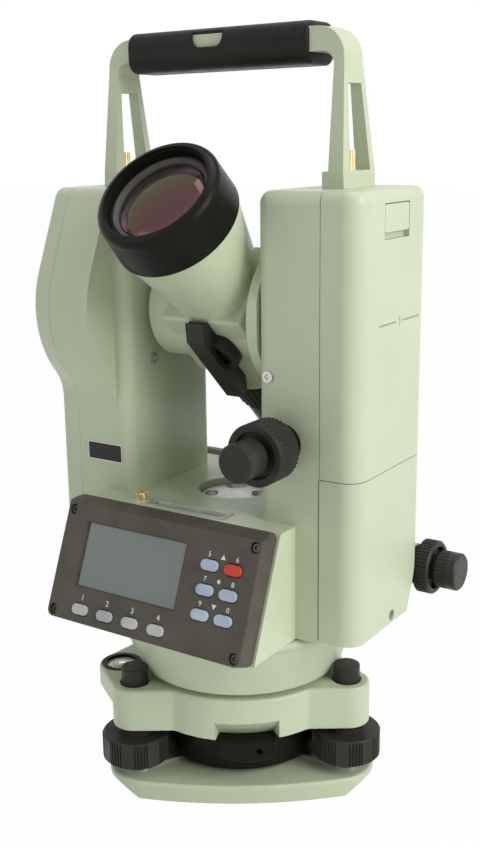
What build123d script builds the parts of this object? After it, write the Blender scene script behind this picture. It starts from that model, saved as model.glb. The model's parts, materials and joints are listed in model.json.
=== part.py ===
from build123d import *
import os
from math import cos, hypot, pi, radians, sin, sqrt, tan

# All lengths are millimetres. Z is up, X runs to the right of a person facing the
# front display and Y points away from that person. The origin is on the vertical
# axis at the underside of the base plate.

os.makedirs("parts", exist_ok=True)

# Fits
fit_gap = 0.05          # between pieces that are fixed to each other
run_gap = 0.06          # between a shaft and the bore it turns in
move_gap = 0.35         # between pieces that pass each other
cut_over = 1.0          # how far a cutting tool runs past a face

# Tribrach
tribrach_turn = -56.2   # direction in which the lock lever points
foot_first_angle = -60.0
foot_radius = 60.0
foot_count = 3
base_thickness = 10.0
base_corner_centre = 51.7
base_corner_radius = 21.3
base_edge_reach = 52.2
base_draft_height = 8.0
base_draft = 1.4
base_top_round = 1.5
base_turned_radius = 67.5
base_turned_height = 7.0
base_turned_reach = 5.5
socket_radius = 4.5
socket_bottom = 1.5
ball_radius = 4.1
ball_height = 5.7
foot_stem_radius = 3.0
spring_thickness = 1.2
spring_hub_radius = 20.0
spring_arm_width = 13.0
spring_end_radius = 8.5
insert_radius = 12.0
insert_bore_radius = 6.8
insert_flange_radius = 16.0
insert_flange_height = 2.0
foot_knob_radius = 17.0
foot_knob_bottom = 16.0
foot_knob_top = 29.5
foot_knob_edge = 1.0
foot_collar_radius = 9.0
foot_collar_step = 8.0
foot_collar_middle = 31.8
foot_thread_radius = 4.5
foot_thread_top = 59.0
tribrach_bottom = 34.3
tribrach_top = 55.2
tribrach_corner_radius = 11.2
tribrach_centre_radius = 52.4
tribrach_junction_round = 5.0
tribrach_top_round = 1.5
cap_radius = 6.5
cap_top = 63.3
cap_seat_depth = 1.5
cap_seat_radius = 7.3
cap_round = 0.8
hub_radius = 21.6
hub_bottom = 25.0
drum_radius = 41.8
drum_inner_radius = 40.0
drum_bottom = 12.7
drum_floor = 1.5
drum_floor_hole = 20.0
drum_round = 1.2
lock_web_bottom = 29.0
lock_web_top = 32.0
lock_web_inner = 22.0
lock_travel = 26.0
lug_ring_radius = 33.0
lug_radius = 4.5
lug_neck_radius = 3.0
lug_bottom = 26.0
lug_neck_bottom = 28.4
lug_neck_top = 32.6
lever_face = 53.0
lever_left = -10.6
lever_right = 16.5
lever_top = 33.9
lever_side_bottom = 26.0
lever_middle_bottom = 23.2
lever_hole_radius = 1.5
lever_hole_along = 8.5
lever_hole_height = 29.0
lever_hole_depth = 5.0
lever_round = 0.8
scoop_radius = 44.6
scoop_height = 9.0
scoop_half_angle = 17.0
scoop_middle_angle = 3.2

# Circular level on the tribrach
level_x = -45.5
level_y = -40.5
level_boss_radius = 11.3
level_boss_bottom = 45.0
level_cone_bottom = 36.5
level_cone_radius = 4.0
level_case_radius = 10.0
level_case_bottom = 46.0
level_case_top = 55.5
level_ring_width = 2.2
level_vial_bottom = 48.0
level_vial_top = 54.0
level_vial_crown = 0.9

# Lower housing and vertical axis
neck_radius = 46.5
neck_top = 58.0
dish_rim_radius = 51.5
dish_flare_radius = 62.2
dish_flare_height = 83.3
dish_edge_radius = 64.6
dish_edge_height = 86.6
dish_lip_radius = 62.8
dish_top = 88.5
dish_floor = 75.0
dish_cavity_floor_radius = 53.5
dish_cavity_top_radius = 57.0
sleeve_radius = 17.0
sleeve_bottom = 41.0
sleeve_flange_radius = 26.0
sleeve_flange_thickness = 3.0
spindle_radius = 11.0
spindle_bottom = 42.5
spindle_collar_radius = 16.0
spindle_flange_radius = 22.0
spindle_flange_bottom = 85.5
spindle_top = 107.0
circle_inner_radius = 19.0
circle_outer_radius = 46.0
circle_thickness = 3.0
labyrinth_outer_radius = 52.5
labyrinth_inner_radius = 49.5
labyrinth_bottom = 85.3

# Alidade
alidade_bottom = 89.5
half_depth = 33.9
standard_top = 291.4
trunnion_height = 233.8
right_inner = 33.5
right_seam = 65.1
right_outer = 84.05
right_round = 5.5
left_inner = -39.0
left_step = -47.5
left_seam = -72.5
left_outer = -85.0
left_round = 6.0
bulge_at_step = 53.0
bulge_at_seam = 51.5
bulge_at_outer = 48.8
depth_at_seam = 33.5
depth_at_outer = 32.4
bulge_lean = 22.8
bulge_blend = 22.0
bulge_crest_round = 6.5
cover_edge_round = 3.5
saddle_top = 144.0
saddle_left = -57.0
saddle_right = 53.3
saddle_round = 3.0
recess_x = -2.5
recess_y = 1.0
recess_radius = 18.0
recess_depth = 7.0
plummet_cap_radius = 16.5
plummet_cap_height = 4.0

# Plate level in the saddle
plate_level_x = -2.5
plate_level_y = -39.0
plate_level_length = 46.0
plate_level_width = 9.6
plate_level_depth = 9.0
plate_level_rise = 0.4
plate_level_wall = 1.6
vial_radius = 3.0
vial_length = 41.0
level_screw_x = -30.7
level_screw_y = -38.0
level_screw_radius = 3.1
level_screw_height = 3.6
level_screw_shank = 1.5
level_screw_length = 8.0
slot_width = 0.9
slot_depth = 0.8

# Trunnion axis
axle_radius = 8.0
axle_left = -71.5
axle_right = 60.0
axle_inner = 18.0
bush_radius = 14.0
bush_left_end = -66.0
bush_left_rim = -37.0
bush_right_rim = 35.0
bush_right_end = 62.0
circle_bay_depth = 6.5
circle_bay_radius = 37.0
vertical_circle_radius = 34.0
vertical_circle_hub_radius = 13.0
vertical_circle_face = -70.6
vertical_circle_back = -68.4
vertical_circle_hub_end = -66.5

# Telescope, drawn along its own axis and tilted up at the front
telescope_tilt = 44.0
block_half_width = 22.0
block_half_height = 22.3
block_front = 20.8
block_back = -22.0
block_round = 1.5
trunnion_drum_radius = 24.0
trunnion_drum_left = -33.5
hub_disc_radius = 34.0
hub_disc_left = 28.0
hub_disc_right = 32.9
hub_disc_cone = 4.0
barrel_root_radius = 21.6
barrel_profile = ((25.6, 22.4), (40.0, 25.0), (51.0, 27.0), (63.1, 29.4))
barrel_neck_radius = 24.3
barrel_neck_end = 73.2
barrel_bore_radius = 19.0
barrel_bore_start = 40.0
lens_radius = 21.2
lens_back = 67.0
lens_edge = 71.6
lens_crown = 75.6
lens_seat_start = 66.9
rear_tube_radius = 23.0
rear_tube_end = -35.0
rear_neck_radius = 17.0
rear_neck_end = -60.0
focus_radius = 23.7
focus_start = -35.4
focus_end = -53.4
eyepiece_radius = 22.4
eyepiece_start = -53.8
eyepiece_step = -71.5
eyepiece_tube_radius = 15.0
eyepiece_end = -84.0
eyepiece_cup_radius = 11.0
eyepiece_cup_depth = 3.0
eyepiece_bore_depth = 6.6
ring_edge = 0.8
hood_base = 63.2
hood_base_radius = 30.07
hood_shoulder = 79.4
hood_shoulder_radius = 29.2
hood_front = 84.2
hood_front_radius = 25.6
hood_mouth_radius = 24.9
hood_step = 82.6
sight_left = -13.0
sight_right = -3.0
sight_back = -29.0
sight_front = 23.0
sight_height = 9.0
sight_window_cut = 7.0
sight_disc_x = 4.0
sight_disc_along = 1.0
sight_disc_radius = 10.0
sight_disc_height = 6.0
sight_disc_recess_radius = 6.4
sight_disc_recess = 2.0
upper_sight_x = 0.0
upper_sight_half_width = 5.0

# Clamp and tangent units
vertical_unit_x = 46.9
vertical_unit_z = 181.5
vertical_collar_radius = 9.2
vertical_ring_radius = 14.0
vertical_ring_back = 43.5
vertical_ring_front = 58.0
vertical_knob_radius = 8.4
vertical_knob_end = 73.0
horizontal_unit_y = 40.8
horizontal_unit_z = 107.0
horizontal_boss_radius = 10.0
horizontal_boss_end = 79.0
horizontal_ring_radius = 13.2
horizontal_ring_back = 82.6
horizontal_ring_front = 90.0
horizontal_knob_radius = 9.2
horizontal_knob_end = 102.3
unit_shaft_radius = 3.5
unit_shaft_depth = 24.0
unit_collar_bore = 5.0
unit_recess_radius = 10.6
unit_recess_depth = 3.0
unit_neck_radius = 6.4
unit_neck_length = 4.5
unit_edge = 0.8

# Side covers and battery
cover_height = 167.3
cover_bottom = 91.0
outer_round = 9.0
top_round = 5.0
seam_gap = 0.3
side_cut_upper = (33.9, 127.0)
side_cut_lower = (19.1, 91.0)
side_screw_y = 2.5
side_screw_z = 94.8
latch_left = -11.5
latch_right = 12.0
latch_bottom = 273.2
latch_top = 285.2
latch_thickness = 2.0
latch_travel = 2.6
latch_pocket_depth = 2.6
latch_lip = 3.4

# Carrying handle
handle_middle = -1.6
handle_outer_foot = 65.7
handle_outer_top = 63.3
handle_inner_foot = 55.2
handle_inner_step = 58.1
handle_inner_top = 58.6
handle_step_height = 298.6
handle_bend_start = 345.0
handle_top = 358.6
handle_bar_bottom = 348.2
handle_outer_bend = 13.0
handle_inner_bend = 6.0
handle_front_foot = -14.5
handle_back_foot = 14.8
handle_front_top = -10.5
handle_back_top = 6.0
handle_round = 1.2
window_front = -8.0
window_back_bottom = 10.6
window_back_top = 4.2
window_bottom = 298.8
window_top = 335.0
grip_left = -50.8
grip_right = 46.5
grip_half_depth = 12.6
grip_bottom = 343.2
grip_top = 361.4
grip_round = 6.0
grip_end_round = 2.0
grip_notch_left = -14.0
grip_notch_right = 3.0
grip_notch_bottom = 353.0
grip_notch_round = 4.0
bar_front = -9.5
bar_back = 5.0
thumb_screw_y = -2.0
thumb_screw_radius = 3.7
thumb_screw_height = 8.6
thumb_screw_shank = 2.0
thumb_screw_length = 10.0
thumb_screw_x = 61.9

# Display panels, drawn on a face that leans back
panel_lean = 22.5
panel_y = -75.0
panel_z = 104.6
panel_left = -58.7
panel_right = 52.0
panel_low = -12.7
panel_high = 43.0
panel_high_back = 47.4
panel_bevel_depth = 7.0
panel_thickness = 11.0
panel_corner_round = 3.5
panel_edge_round = 1.0
back_panel_shift = -6.7
window_left = -44.8
window_right = 13.5
window_low = 4.2
window_high = 35.2
window_depth = 2.4
glass_thickness = 1.4
key_length = 9.2
key_width = 5.0
key_gap = 0.35
key_rise = 1.2
key_sunk = 2.2
key_pocket_depth = 4.0
bottom_key_x = (-38.6, -23.75, -8.9, 5.95)
bottom_key_v = -6.2
right_key_x = (27.5, 39.9)
right_key_v = (27.7, 16.6, 5.5)
panel_screw_x = (-54.8, 48.4)
panel_screw_v = (-9.1, 39.4)
panel_screw_radius = 1.9
panel_screw_head = 1.3
panel_screw_pocket = 2.6
panel_screw_pocket_depth = 2.6
panel_screw_shank = 1.1
panel_screw_length = 14.0

# Cover screws
cover_screw_radius = 2.6
cover_screw_head = 1.4
cover_screw_shank = 1.4
cover_screw_length = 7.0
front_screw_x = 39.6
front_screw_z = 211.0
inner_screw_y = -15.0
inner_screw_z = 209.0

TRIBRACH = Plane(
    origin=(0, 0, 0),
    x_dir=(cos(radians(tribrach_turn)), sin(radians(tribrach_turn)), 0),
    z_dir=(0, 0, 1),
)
SCOPE = Plane(
    origin=(0, 0, trunnion_height),
    x_dir=(1, 0, 0),
    z_dir=(0, -cos(radians(telescope_tilt)), sin(radians(telescope_tilt))),
)
FRONT_FACE = Plane(
    origin=(0, panel_y, panel_z),
    x_dir=(1, 0, 0),
    z_dir=(0, -cos(radians(panel_lean)), sin(radians(panel_lean))),
)
BACK_FACE = Plane(
    origin=(back_panel_shift, -panel_y, panel_z),
    x_dir=(-1, 0, 0),
    z_dir=(0, cos(radians(panel_lean)), sin(radians(panel_lean))),
)
VERTICAL_UNIT = Plane(
    origin=(vertical_unit_x, 0, vertical_unit_z), x_dir=(1, 0, 0), z_dir=(0, -1, 0)
)
HORIZONTAL_UNIT = Plane(
    origin=(0, horizontal_unit_y, horizontal_unit_z), x_dir=(0, 1, 0), z_dir=(1, 0, 0)
)
AXLE = Plane(origin=(0, 0, trunnion_height), x_dir=(0, 1, 0), z_dir=(1, 0, 0))


def save(part, label):
    """Name a finished sub-part and write its file."""
    part.label = label
    export_step(part, f"parts/{label}.step")


def turned(plane, points):
    """Half outline of (radius, height) points, on the plane that holds the turning axis."""
    side = Plane(origin=plane.origin, x_dir=plane.x_dir, z_dir=-plane.y_dir)
    with BuildSketch(side) as half:
        with BuildLine():
            Polyline(*points, close=True)
        make_face()
    return half.sketch


def turning_axis(plane):
    """Axis through the plane's origin along its normal."""
    return Axis(plane.origin, plane.z_dir)


def flat(plane, points):
    """Closed outline of straight lines on a plane."""
    with BuildSketch(plane) as outline:
        with BuildLine():
            Polyline(*points, close=True)
        make_face()
    return outline.sketch


def disc(plane, radius):
    """Circle about the plane's origin."""
    with BuildSketch(plane) as outline:
        Circle(radius)
    return outline.sketch


def ribbed(plane, radius, depth, groups, ribs, flat_share):
    """Grip outline: groups of small ribs with plain flats between them."""
    points = []
    sector = 2 * pi / groups
    rib = sector * (1 - flat_share) / ribs
    for group in range(groups):
        start = group * sector
        for number in range(ribs):
            for place, reach in ((0.15, depth), (0.35, 0), (0.65, 0), (0.85, depth)):
                angle = start + (number + place) * rib
                points.append(((radius - reach) * cos(angle), (radius - reach) * sin(angle)))
        if flat_share > 0:
            for place in (0.04, 0.96):
                angle = start + ribs * rib + place * sector * flat_share
                points.append((radius * cos(angle), radius * sin(angle)))
    return flat(plane, points)


def crowned(plane, radius, bottom, edge, crown):
    """Half outline of a disc whose top is part of a sphere."""
    rise = crown - edge
    sphere = (radius**2 + rise**2) / (2 * rise)
    middle = crown - sphere + sqrt(sphere**2 - (radius / 2) ** 2)
    side = Plane(origin=plane.origin, x_dir=plane.x_dir, z_dir=-plane.y_dir)
    with BuildSketch(side) as half:
        with BuildLine():
            Line((0, bottom), (radius, bottom))
            Line((radius, bottom), (radius, edge))
            ThreePointArc((radius, edge), (radius / 2, middle), (0, crown))
            Line((0, crown), (0, bottom))
        make_face()
    return half.sketch


def capsule(plane, centres, length, width):
    """Round-ended slots, all of one size, at the centres given."""
    with BuildSketch(plane) as outline:
        with Locations(*centres):
            SlotOverall(length, width)
    return outline.sketch


def foot_centre(number):
    """Position of a foot screw in the tribrach's own plane."""
    angle = radians(foot_first_angle + number * 360 / foot_count)
    return (foot_radius * cos(angle), foot_radius * sin(angle))


def lug_centre(number):
    """Position of a lug stud in the tribrach's own plane."""
    angle = radians(60 + number * 360 / foot_count)
    return (lug_ring_radius * cos(angle), lug_ring_radius * sin(angle))


# Base of the tribrach


def base_edge_centre():
    """How far behind the axis the centre of each bowed edge lies."""
    beside = base_corner_centre * sin(radians(foot_first_angle))
    ahead = base_corner_centre * cos(radians(foot_first_angle))
    inner = base_edge_reach - base_corner_radius
    return (ahead**2 + beside**2 - inner**2) / (2 * (inner - ahead))


def make_base_plate():
    back = base_edge_centre()
    with BuildPart() as plate:
        with BuildSketch(TRIBRACH) as outline:
            for number in range(foot_count):
                angle = number * 2 * pi / foot_count
                with Locations((-back * cos(angle), -back * sin(angle))):
                    Circle(back + base_edge_reach, mode=Mode.INTERSECT if number else Mode.ADD)
            corners = [
                v for v in outline.vertices() if hypot(v.X, v.Y) > base_edge_reach + cut_over
            ]
            fillet(corners, radius=base_corner_radius)
        extrude(amount=base_thickness)
        chamfer(plate.edges().group_by(Axis.Z)[0], length=base_draft_height, length2=base_draft)
        fillet(plate.edges().group_by(Axis.Z)[-1], radius=base_top_round)
        outer = base_turned_radius + 2 * base_turned_reach
        revolve(
            turned(
                Plane.XY,
                (
                    (base_turned_radius, 0),
                    (outer, 0),
                    (outer, base_turned_height),
                    (base_turned_radius + base_turned_reach, base_turned_height),
                ),
            ),
            axis=Axis.Z,
            mode=Mode.SUBTRACT,
        )
        extrude(disc(Plane.XY, insert_radius + fit_gap), amount=base_thickness, mode=Mode.SUBTRACT)
        with BuildSketch(TRIBRACH.offset(socket_bottom)):
            with Locations(*[foot_centre(n) for n in range(foot_count)]):
                Circle(socket_radius)
        extrude(amount=base_thickness, mode=Mode.SUBTRACT)
    return plate.part


def make_spring_plate():
    with BuildPart() as spring:
        with BuildSketch(TRIBRACH.offset(base_thickness)):
            Circle(spring_hub_radius)
            with PolarLocations(foot_radius / 2, foot_count, start_angle=foot_first_angle):
                Rectangle(foot_radius, spring_arm_width)
            with Locations(*[foot_centre(n) for n in range(foot_count)]):
                Circle(spring_end_radius)
                Circle(foot_stem_radius + move_gap, mode=Mode.SUBTRACT)
            Circle(insert_radius + fit_gap, mode=Mode.SUBTRACT)
        extrude(amount=spring_thickness)
    return spring.part


def make_thread_insert():
    flange_bottom = base_thickness + spring_thickness
    flange_top = flange_bottom + insert_flange_height
    with BuildPart() as insert:
        revolve(
            turned(
                Plane.XY,
                (
                    (insert_bore_radius, 0),
                    (insert_radius, 0),
                    (insert_radius, flange_bottom),
                    (insert_flange_radius, flange_bottom),
                    (insert_flange_radius, flange_top),
                    (insert_bore_radius, flange_top),
                ),
            ),
            axis=Axis.Z,
        )
    return insert.part


def make_foot_screw(number):
    along, across = foot_centre(number)
    place = Plane(TRIBRACH.from_local_coords((along, across, 0)), TRIBRACH.x_dir, (0, 0, 1))
    collar_top = tribrach_bottom - move_gap
    with BuildPart() as screw:
        revolve(
            turned(
                place,
                (
                    (0, ball_height),
                    (foot_stem_radius, ball_height),
                    (foot_stem_radius, foot_knob_bottom),
                    (foot_knob_radius - 3 * foot_knob_edge, foot_knob_bottom),
                    (foot_knob_radius - 3 * foot_knob_edge, foot_knob_top),
                    (foot_collar_radius, foot_knob_top),
                    (foot_collar_radius, foot_collar_middle),
                    (foot_collar_step, foot_collar_middle),
                    (foot_collar_step, collar_top),
                    (foot_thread_radius, collar_top),
                    (foot_thread_radius, foot_thread_top),
                    (0, foot_thread_top),
                ),
            ),
            axis=turning_axis(place),
        )
        with Locations((place.origin.X, place.origin.Y, ball_height)):
            Sphere(ball_radius)
        height = foot_knob_top - foot_knob_bottom
        extrude(
            ribbed(place.offset(foot_knob_bottom), foot_knob_radius, 0.7, 8, 4, 0.52),
            amount=height,
        )
        over = foot_knob_radius + foot_knob_edge
        for low, high in (
            (foot_knob_bottom, foot_knob_bottom + foot_knob_edge),
            (foot_knob_top, foot_knob_top - foot_knob_edge),
        ):
            revolve(
                turned(place, ((foot_knob_radius - foot_knob_edge, low), (over, low), (over, high + (high - low)))),
                axis=turning_axis(place),
                mode=Mode.SUBTRACT,
            )
    return screw.part


def make_tribrach_body():
    height = tribrach_top - tribrach_bottom
    with BuildPart() as body:
        with BuildSketch(TRIBRACH.offset(tribrach_bottom)) as plan:
            with Locations(*[foot_centre(n) for n in range(foot_count)]):
                Circle(tribrach_corner_radius)
            make_hull()
            Circle(tribrach_centre_radius)
            corners = [
                v for v in plan.vertices() if abs(hypot(v.X, v.Y) - tribrach_centre_radius) < fit_gap
            ]
            fillet(corners, radius=tribrach_junction_round)
        extrude(amount=height)
        with BuildSketch(Plane.XY.offset(level_boss_bottom)):
            with Locations((level_x, level_y)):
                Circle(level_boss_radius)
            Circle(tribrach_centre_radius - 2 * fit_gap)
            make_hull()
        extrude(amount=tribrach_top - level_boss_bottom)
        front_foot = TRIBRACH.from_local_coords((*foot_centre(0), 0))
        with BuildSketch(Plane.XY.offset(level_boss_bottom)):
            with Locations((level_x, level_y)):
                Circle(level_boss_radius)
            with Locations((front_foot.X, front_foot.Y)):
                Circle(tribrach_corner_radius - 2 * fit_gap)
            make_hull()
        extrude(amount=tribrach_top - level_boss_bottom)
        with BuildSketch(Plane.XY.offset(level_boss_bottom)):
            with Locations((level_x, level_y)):
                Circle(level_boss_radius)
        with BuildSketch(Plane.XY.offset(level_cone_bottom)):
            with Locations((level_x * 0.93, level_y * 0.93)):
                Circle(level_cone_radius)
        loft()
        rim = body.faces().sort_by(Axis.Z)[-1].outer_wire().edges()
        fillet(rim, radius=tribrach_top_round)
        extrude(disc(Plane.XY.offset(hub_bottom), hub_radius), amount=height)
        with BuildSketch(TRIBRACH.offset(tribrach_bottom)):
            with Locations(*[foot_centre(n) for n in range(foot_count)]):
                Circle(foot_thread_radius + run_gap)
            with Locations(*[lug_centre(n) for n in range(foot_count)]):
                Circle(lug_radius + fit_gap)
        extrude(amount=height, mode=Mode.SUBTRACT)
        with BuildSketch(TRIBRACH.offset(tribrach_top - cap_seat_depth)):
            with Locations(*[foot_centre(n) for n in range(foot_count)]):
                Circle(cap_seat_radius)
        extrude(amount=height, mode=Mode.SUBTRACT)
        seat = disc(Plane.XY.offset(sleeve_bottom - cut_over), sleeve_radius + fit_gap)
        extrude(seat, amount=height, mode=Mode.SUBTRACT)
        with BuildSketch(Plane.XY.offset(level_case_bottom)):
            with Locations((level_x, level_y)):
                Circle(level_case_radius + fit_gap)
        extrude(amount=height, mode=Mode.SUBTRACT)
        start = tribrach_turn + scoop_middle_angle - scoop_half_angle
        cut_plane = Plane(
            origin=(0, 0, 0),
            x_dir=(cos(radians(start)), sin(radians(start)), 0),
            z_dir=(0, 0, 1),
        )
        outer = tribrach_centre_radius + scoop_height
        revolve(
            turned(
                cut_plane,
                (
                    (scoop_radius, tribrach_bottom - cut_over),
                    (outer, tribrach_bottom - cut_over),
                    (outer, tribrach_bottom + scoop_height),
                    (tribrach_centre_radius + fit_gap, tribrach_bottom + scoop_height),
                    (scoop_radius, tribrach_bottom),
                ),
            ),
            axis=Axis.Z,
            revolution_arc=2 * scoop_half_angle,
            mode=Mode.SUBTRACT,
        )
    return body.part


def make_foot_screw_caps():
    seat = tribrach_top - cap_seat_depth
    with BuildPart() as caps:
        with BuildSketch(TRIBRACH.offset(seat)):
            with Locations(*[foot_centre(n) for n in range(foot_count)]):
                Circle(cap_radius)
        extrude(amount=cap_top - seat)
        fillet(caps.edges().group_by(Axis.Z)[-1], radius=cap_round)
        with BuildSketch(TRIBRACH.offset(seat)):
            with Locations(*[foot_centre(n) for n in range(foot_count)]):
                Circle(foot_thread_radius + move_gap)
        extrude(amount=foot_thread_top + move_gap - seat, mode=Mode.SUBTRACT)
    return caps.part


def make_lock_drum():
    slot_end = radians(lock_travel)
    with BuildPart() as drum:
        extrude(
            disc(Plane.XY.offset(drum_bottom), drum_radius),
            amount=tribrach_bottom - move_gap - drum_bottom,
        )
        fillet(drum.edges().group_by(Axis.Z)[0], radius=drum_round)
        extrude(
            disc(Plane.XY.offset(drum_bottom + drum_floor), drum_inner_radius),
            amount=lock_web_bottom - drum_bottom - drum_floor,
            mode=Mode.SUBTRACT,
        )
        extrude(
            disc(Plane.XY.offset(lock_web_top), drum_inner_radius),
            amount=tribrach_bottom,
            mode=Mode.SUBTRACT,
        )
        extrude(
            disc(Plane.XY.offset(drum_bottom), drum_floor_hole),
            amount=2 * drum_floor,
            mode=Mode.SUBTRACT,
        )
        extrude(
            disc(Plane.XY.offset(lock_web_bottom), lock_web_inner),
            amount=tribrach_bottom,
            mode=Mode.SUBTRACT,
        )
        narrow = lug_neck_radius + move_gap
        with BuildSketch(TRIBRACH.offset(lock_web_bottom - cut_over)):
            for number in range(foot_count):
                along, across = lug_centre(number)
                far = (
                    along * cos(slot_end) - across * sin(slot_end),
                    along * sin(slot_end) + across * cos(slot_end),
                )
                middle = (
                    along * cos(slot_end / 2) - across * sin(slot_end / 2),
                    along * sin(slot_end / 2) + across * cos(slot_end / 2),
                )
                with BuildLine() as path:
                    ThreePointArc((along, across), middle, far)
                SlotArc(arc=path.wire(), height=2 * narrow)
                with Locations(far):
                    Circle(lug_radius + move_gap)
        extrude(amount=tribrach_bottom - lock_web_bottom, mode=Mode.SUBTRACT)
    return drum.part


def make_lock_lever():
    middle = (lever_left + lever_right) / 2
    with BuildPart() as lever:
        with BuildSketch(Plane(TRIBRACH.origin, TRIBRACH.y_dir, TRIBRACH.x_dir)) as face:
            with BuildLine():
                Line((lever_left, lever_top), (lever_right, lever_top))
                Line((lever_right, lever_top), (lever_right, lever_side_bottom))
                ThreePointArc(
                    (lever_right, lever_side_bottom),
                    (middle, lever_middle_bottom),
                    (lever_left, lever_side_bottom),
                )
                Line((lever_left, lever_side_bottom), (lever_left, lever_top))
            make_face()
            fillet(face.vertices(), radius=lever_round)
        extrude(amount=lever_face)
        front = lever.faces().sort_by(Axis(TRIBRACH.origin, TRIBRACH.x_dir))[-1]
        fillet(front.edges(), radius=lever_round)
        extrude(
            disc(Plane.XY, drum_radius + fit_gap),
            amount=tribrach_top,
            mode=Mode.SUBTRACT,
        )
        hole_plane = Plane(
            TRIBRACH.from_local_coords((lever_face, lever_hole_along, lever_hole_height)),
            TRIBRACH.y_dir,
            TRIBRACH.x_dir,
        )
        extrude(disc(hole_plane, lever_hole_radius), amount=-lever_hole_depth, mode=Mode.SUBTRACT)
    return lever.part


def make_lug_studs():
    with BuildPart() as studs:
        with BuildSketch(TRIBRACH.offset(lug_bottom)):
            with Locations(*[lug_centre(n) for n in range(foot_count)]):
                Circle(lug_radius)
        extrude(amount=tribrach_top - lug_bottom)
        with BuildSketch(TRIBRACH.offset(lug_neck_bottom)):
            with Locations(*[lug_centre(n) for n in range(foot_count)]):
                Circle(lug_radius + fit_gap)
                Circle(lug_neck_radius, mode=Mode.SUBTRACT)
        extrude(amount=lug_neck_top - lug_neck_bottom, mode=Mode.SUBTRACT)
    return studs.part


def make_circular_level_case():
    place = Plane((level_x, level_y, 0), (1, 0, 0), (0, 0, 1))
    inner = level_case_radius - level_ring_width
    with BuildPart() as case:
        revolve(
            turned(
                place,
                (
                    (0, level_case_bottom),
                    (level_case_radius, level_case_bottom),
                    (level_case_radius, level_case_top),
                    (inner, level_case_top),
                    (inner, level_vial_bottom),
                    (0, level_vial_bottom),
                ),
            ),
            axis=turning_axis(place),
        )
    return case.part


def make_circular_level_vial():
    place = Plane((level_x, level_y, 0), (1, 0, 0), (0, 0, 1))
    radius = level_case_radius - level_ring_width - fit_gap
    crown = level_vial_top + level_vial_crown
    with BuildPart() as vial:
        revolve(
            crowned(place, radius, level_vial_bottom, level_vial_top, crown),
            axis=turning_axis(place),
        )
    return vial.part


# Lower housing, circle and vertical axis


def make_lower_housing():
    bore = sleeve_radius + fit_gap
    with BuildPart() as dish:
        with BuildSketch(Plane.XZ):
            with BuildLine():
                Polyline(
                    (bore, tribrach_top),
                    (neck_radius, tribrach_top),
                    (neck_radius, neck_top),
                    (dish_rim_radius, neck_top),
                    (dish_flare_radius, dish_flare_height),
                )
                ThreePointArc(
                    (dish_flare_radius, dish_flare_height),
                    (dish_edge_radius, dish_edge_height),
                    (dish_lip_radius, dish_top),
                )
                Polyline(
                    (dish_lip_radius, dish_top),
                    (dish_cavity_top_radius, dish_top),
                    (dish_cavity_floor_radius, dish_floor),
                    (bore, dish_floor),
                    (bore, tribrach_top),
                )
            make_face()
        revolve(axis=Axis.Z)
    return dish.part


def make_spindle_sleeve():
    bore = spindle_radius + run_gap
    with BuildPart() as sleeve:
        revolve(
            turned(
                Plane.XY,
                (
                    (bore, sleeve_bottom),
                    (sleeve_radius, sleeve_bottom),
                    (sleeve_radius, dish_floor),
                    (sleeve_flange_radius, dish_floor),
                    (sleeve_flange_radius, dish_floor + sleeve_flange_thickness),
                    (bore, dish_floor + sleeve_flange_thickness),
                ),
            ),
            axis=Axis.Z,
        )
    return sleeve.part


def make_horizontal_circle():
    bottom = dish_floor + sleeve_flange_thickness
    with BuildPart() as ring:
        with BuildSketch(Plane.XY.offset(bottom)):
            Circle(circle_outer_radius)
            Circle(circle_inner_radius, mode=Mode.SUBTRACT)
        extrude(amount=circle_thickness)
    return ring.part


def make_spindle():
    collar_bottom = dish_floor + sleeve_flange_thickness + move_gap
    with BuildPart() as spindle:
        revolve(
            turned(
                Plane.XY,
                (
                    (0, spindle_bottom),
                    (spindle_radius, spindle_bottom),
                    (spindle_radius, collar_bottom),
                    (spindle_collar_radius, collar_bottom),
                    (spindle_collar_radius, spindle_flange_bottom),
                    (spindle_flange_radius, spindle_flange_bottom),
                    (spindle_flange_radius, alidade_bottom),
                    (spindle_radius, alidade_bottom),
                    (spindle_radius, spindle_top),
                    (0, spindle_top),
                ),
            ),
            axis=Axis.Z,
        )
    return spindle.part


# Alidade


def bulged_outline(plane, bulge, depth, grow=0.0):
    """Side outline of the left standard: a round bulge about the trunnion on a plain foot."""
    lean = radians(bulge_lean)
    blend_y = depth + bulge_blend
    drop = sqrt((bulge + bulge_blend) ** 2 - blend_y**2)
    share = bulge / (bulge + bulge_blend)
    lower = (depth, trunnion_height - drop)
    joint = (blend_y * share, trunnion_height - drop * share)
    swing = hypot(-1 - blend_y / (bulge + bulge_blend), drop / (bulge + bulge_blend))
    middle = (
        blend_y + bulge_blend * (-1 - blend_y / (bulge + bulge_blend)) / swing,
        trunnion_height - drop + bulge_blend * (drop / (bulge + bulge_blend)) / swing,
    )
    upper = (bulge * cos(lean), trunnion_height + bulge * sin(lean))
    crest_y = upper[0] - (standard_top - upper[1]) * tan(lean)
    with BuildSketch(plane) as outline:
        with BuildLine():
            Line((0, alidade_bottom), (depth, alidade_bottom))
            Line((depth, alidade_bottom), lower)
            ThreePointArc(lower, middle, joint)
            ThreePointArc(joint, (bulge, trunnion_height), upper)
            Line(upper, (crest_y, standard_top))
            Line((crest_y, standard_top), (0, standard_top))
            mirror(about=Plane.YZ)
        make_face()
        fillet(outline.vertices().group_by(Axis.Y)[-1], radius=bulge_crest_round)
    return outline.sketch


def between(low, high):
    """Middle and length of a span."""
    return (low + high) / 2, high - low


def housing_depth(height):
    """Distance of the leaning housing face from the axis, at a height."""
    lean = radians(panel_lean)
    back = panel_z - panel_thickness * sin(lean)
    return -panel_y - panel_thickness * cos(lean) - (height - back) * tan(lean)


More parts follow.
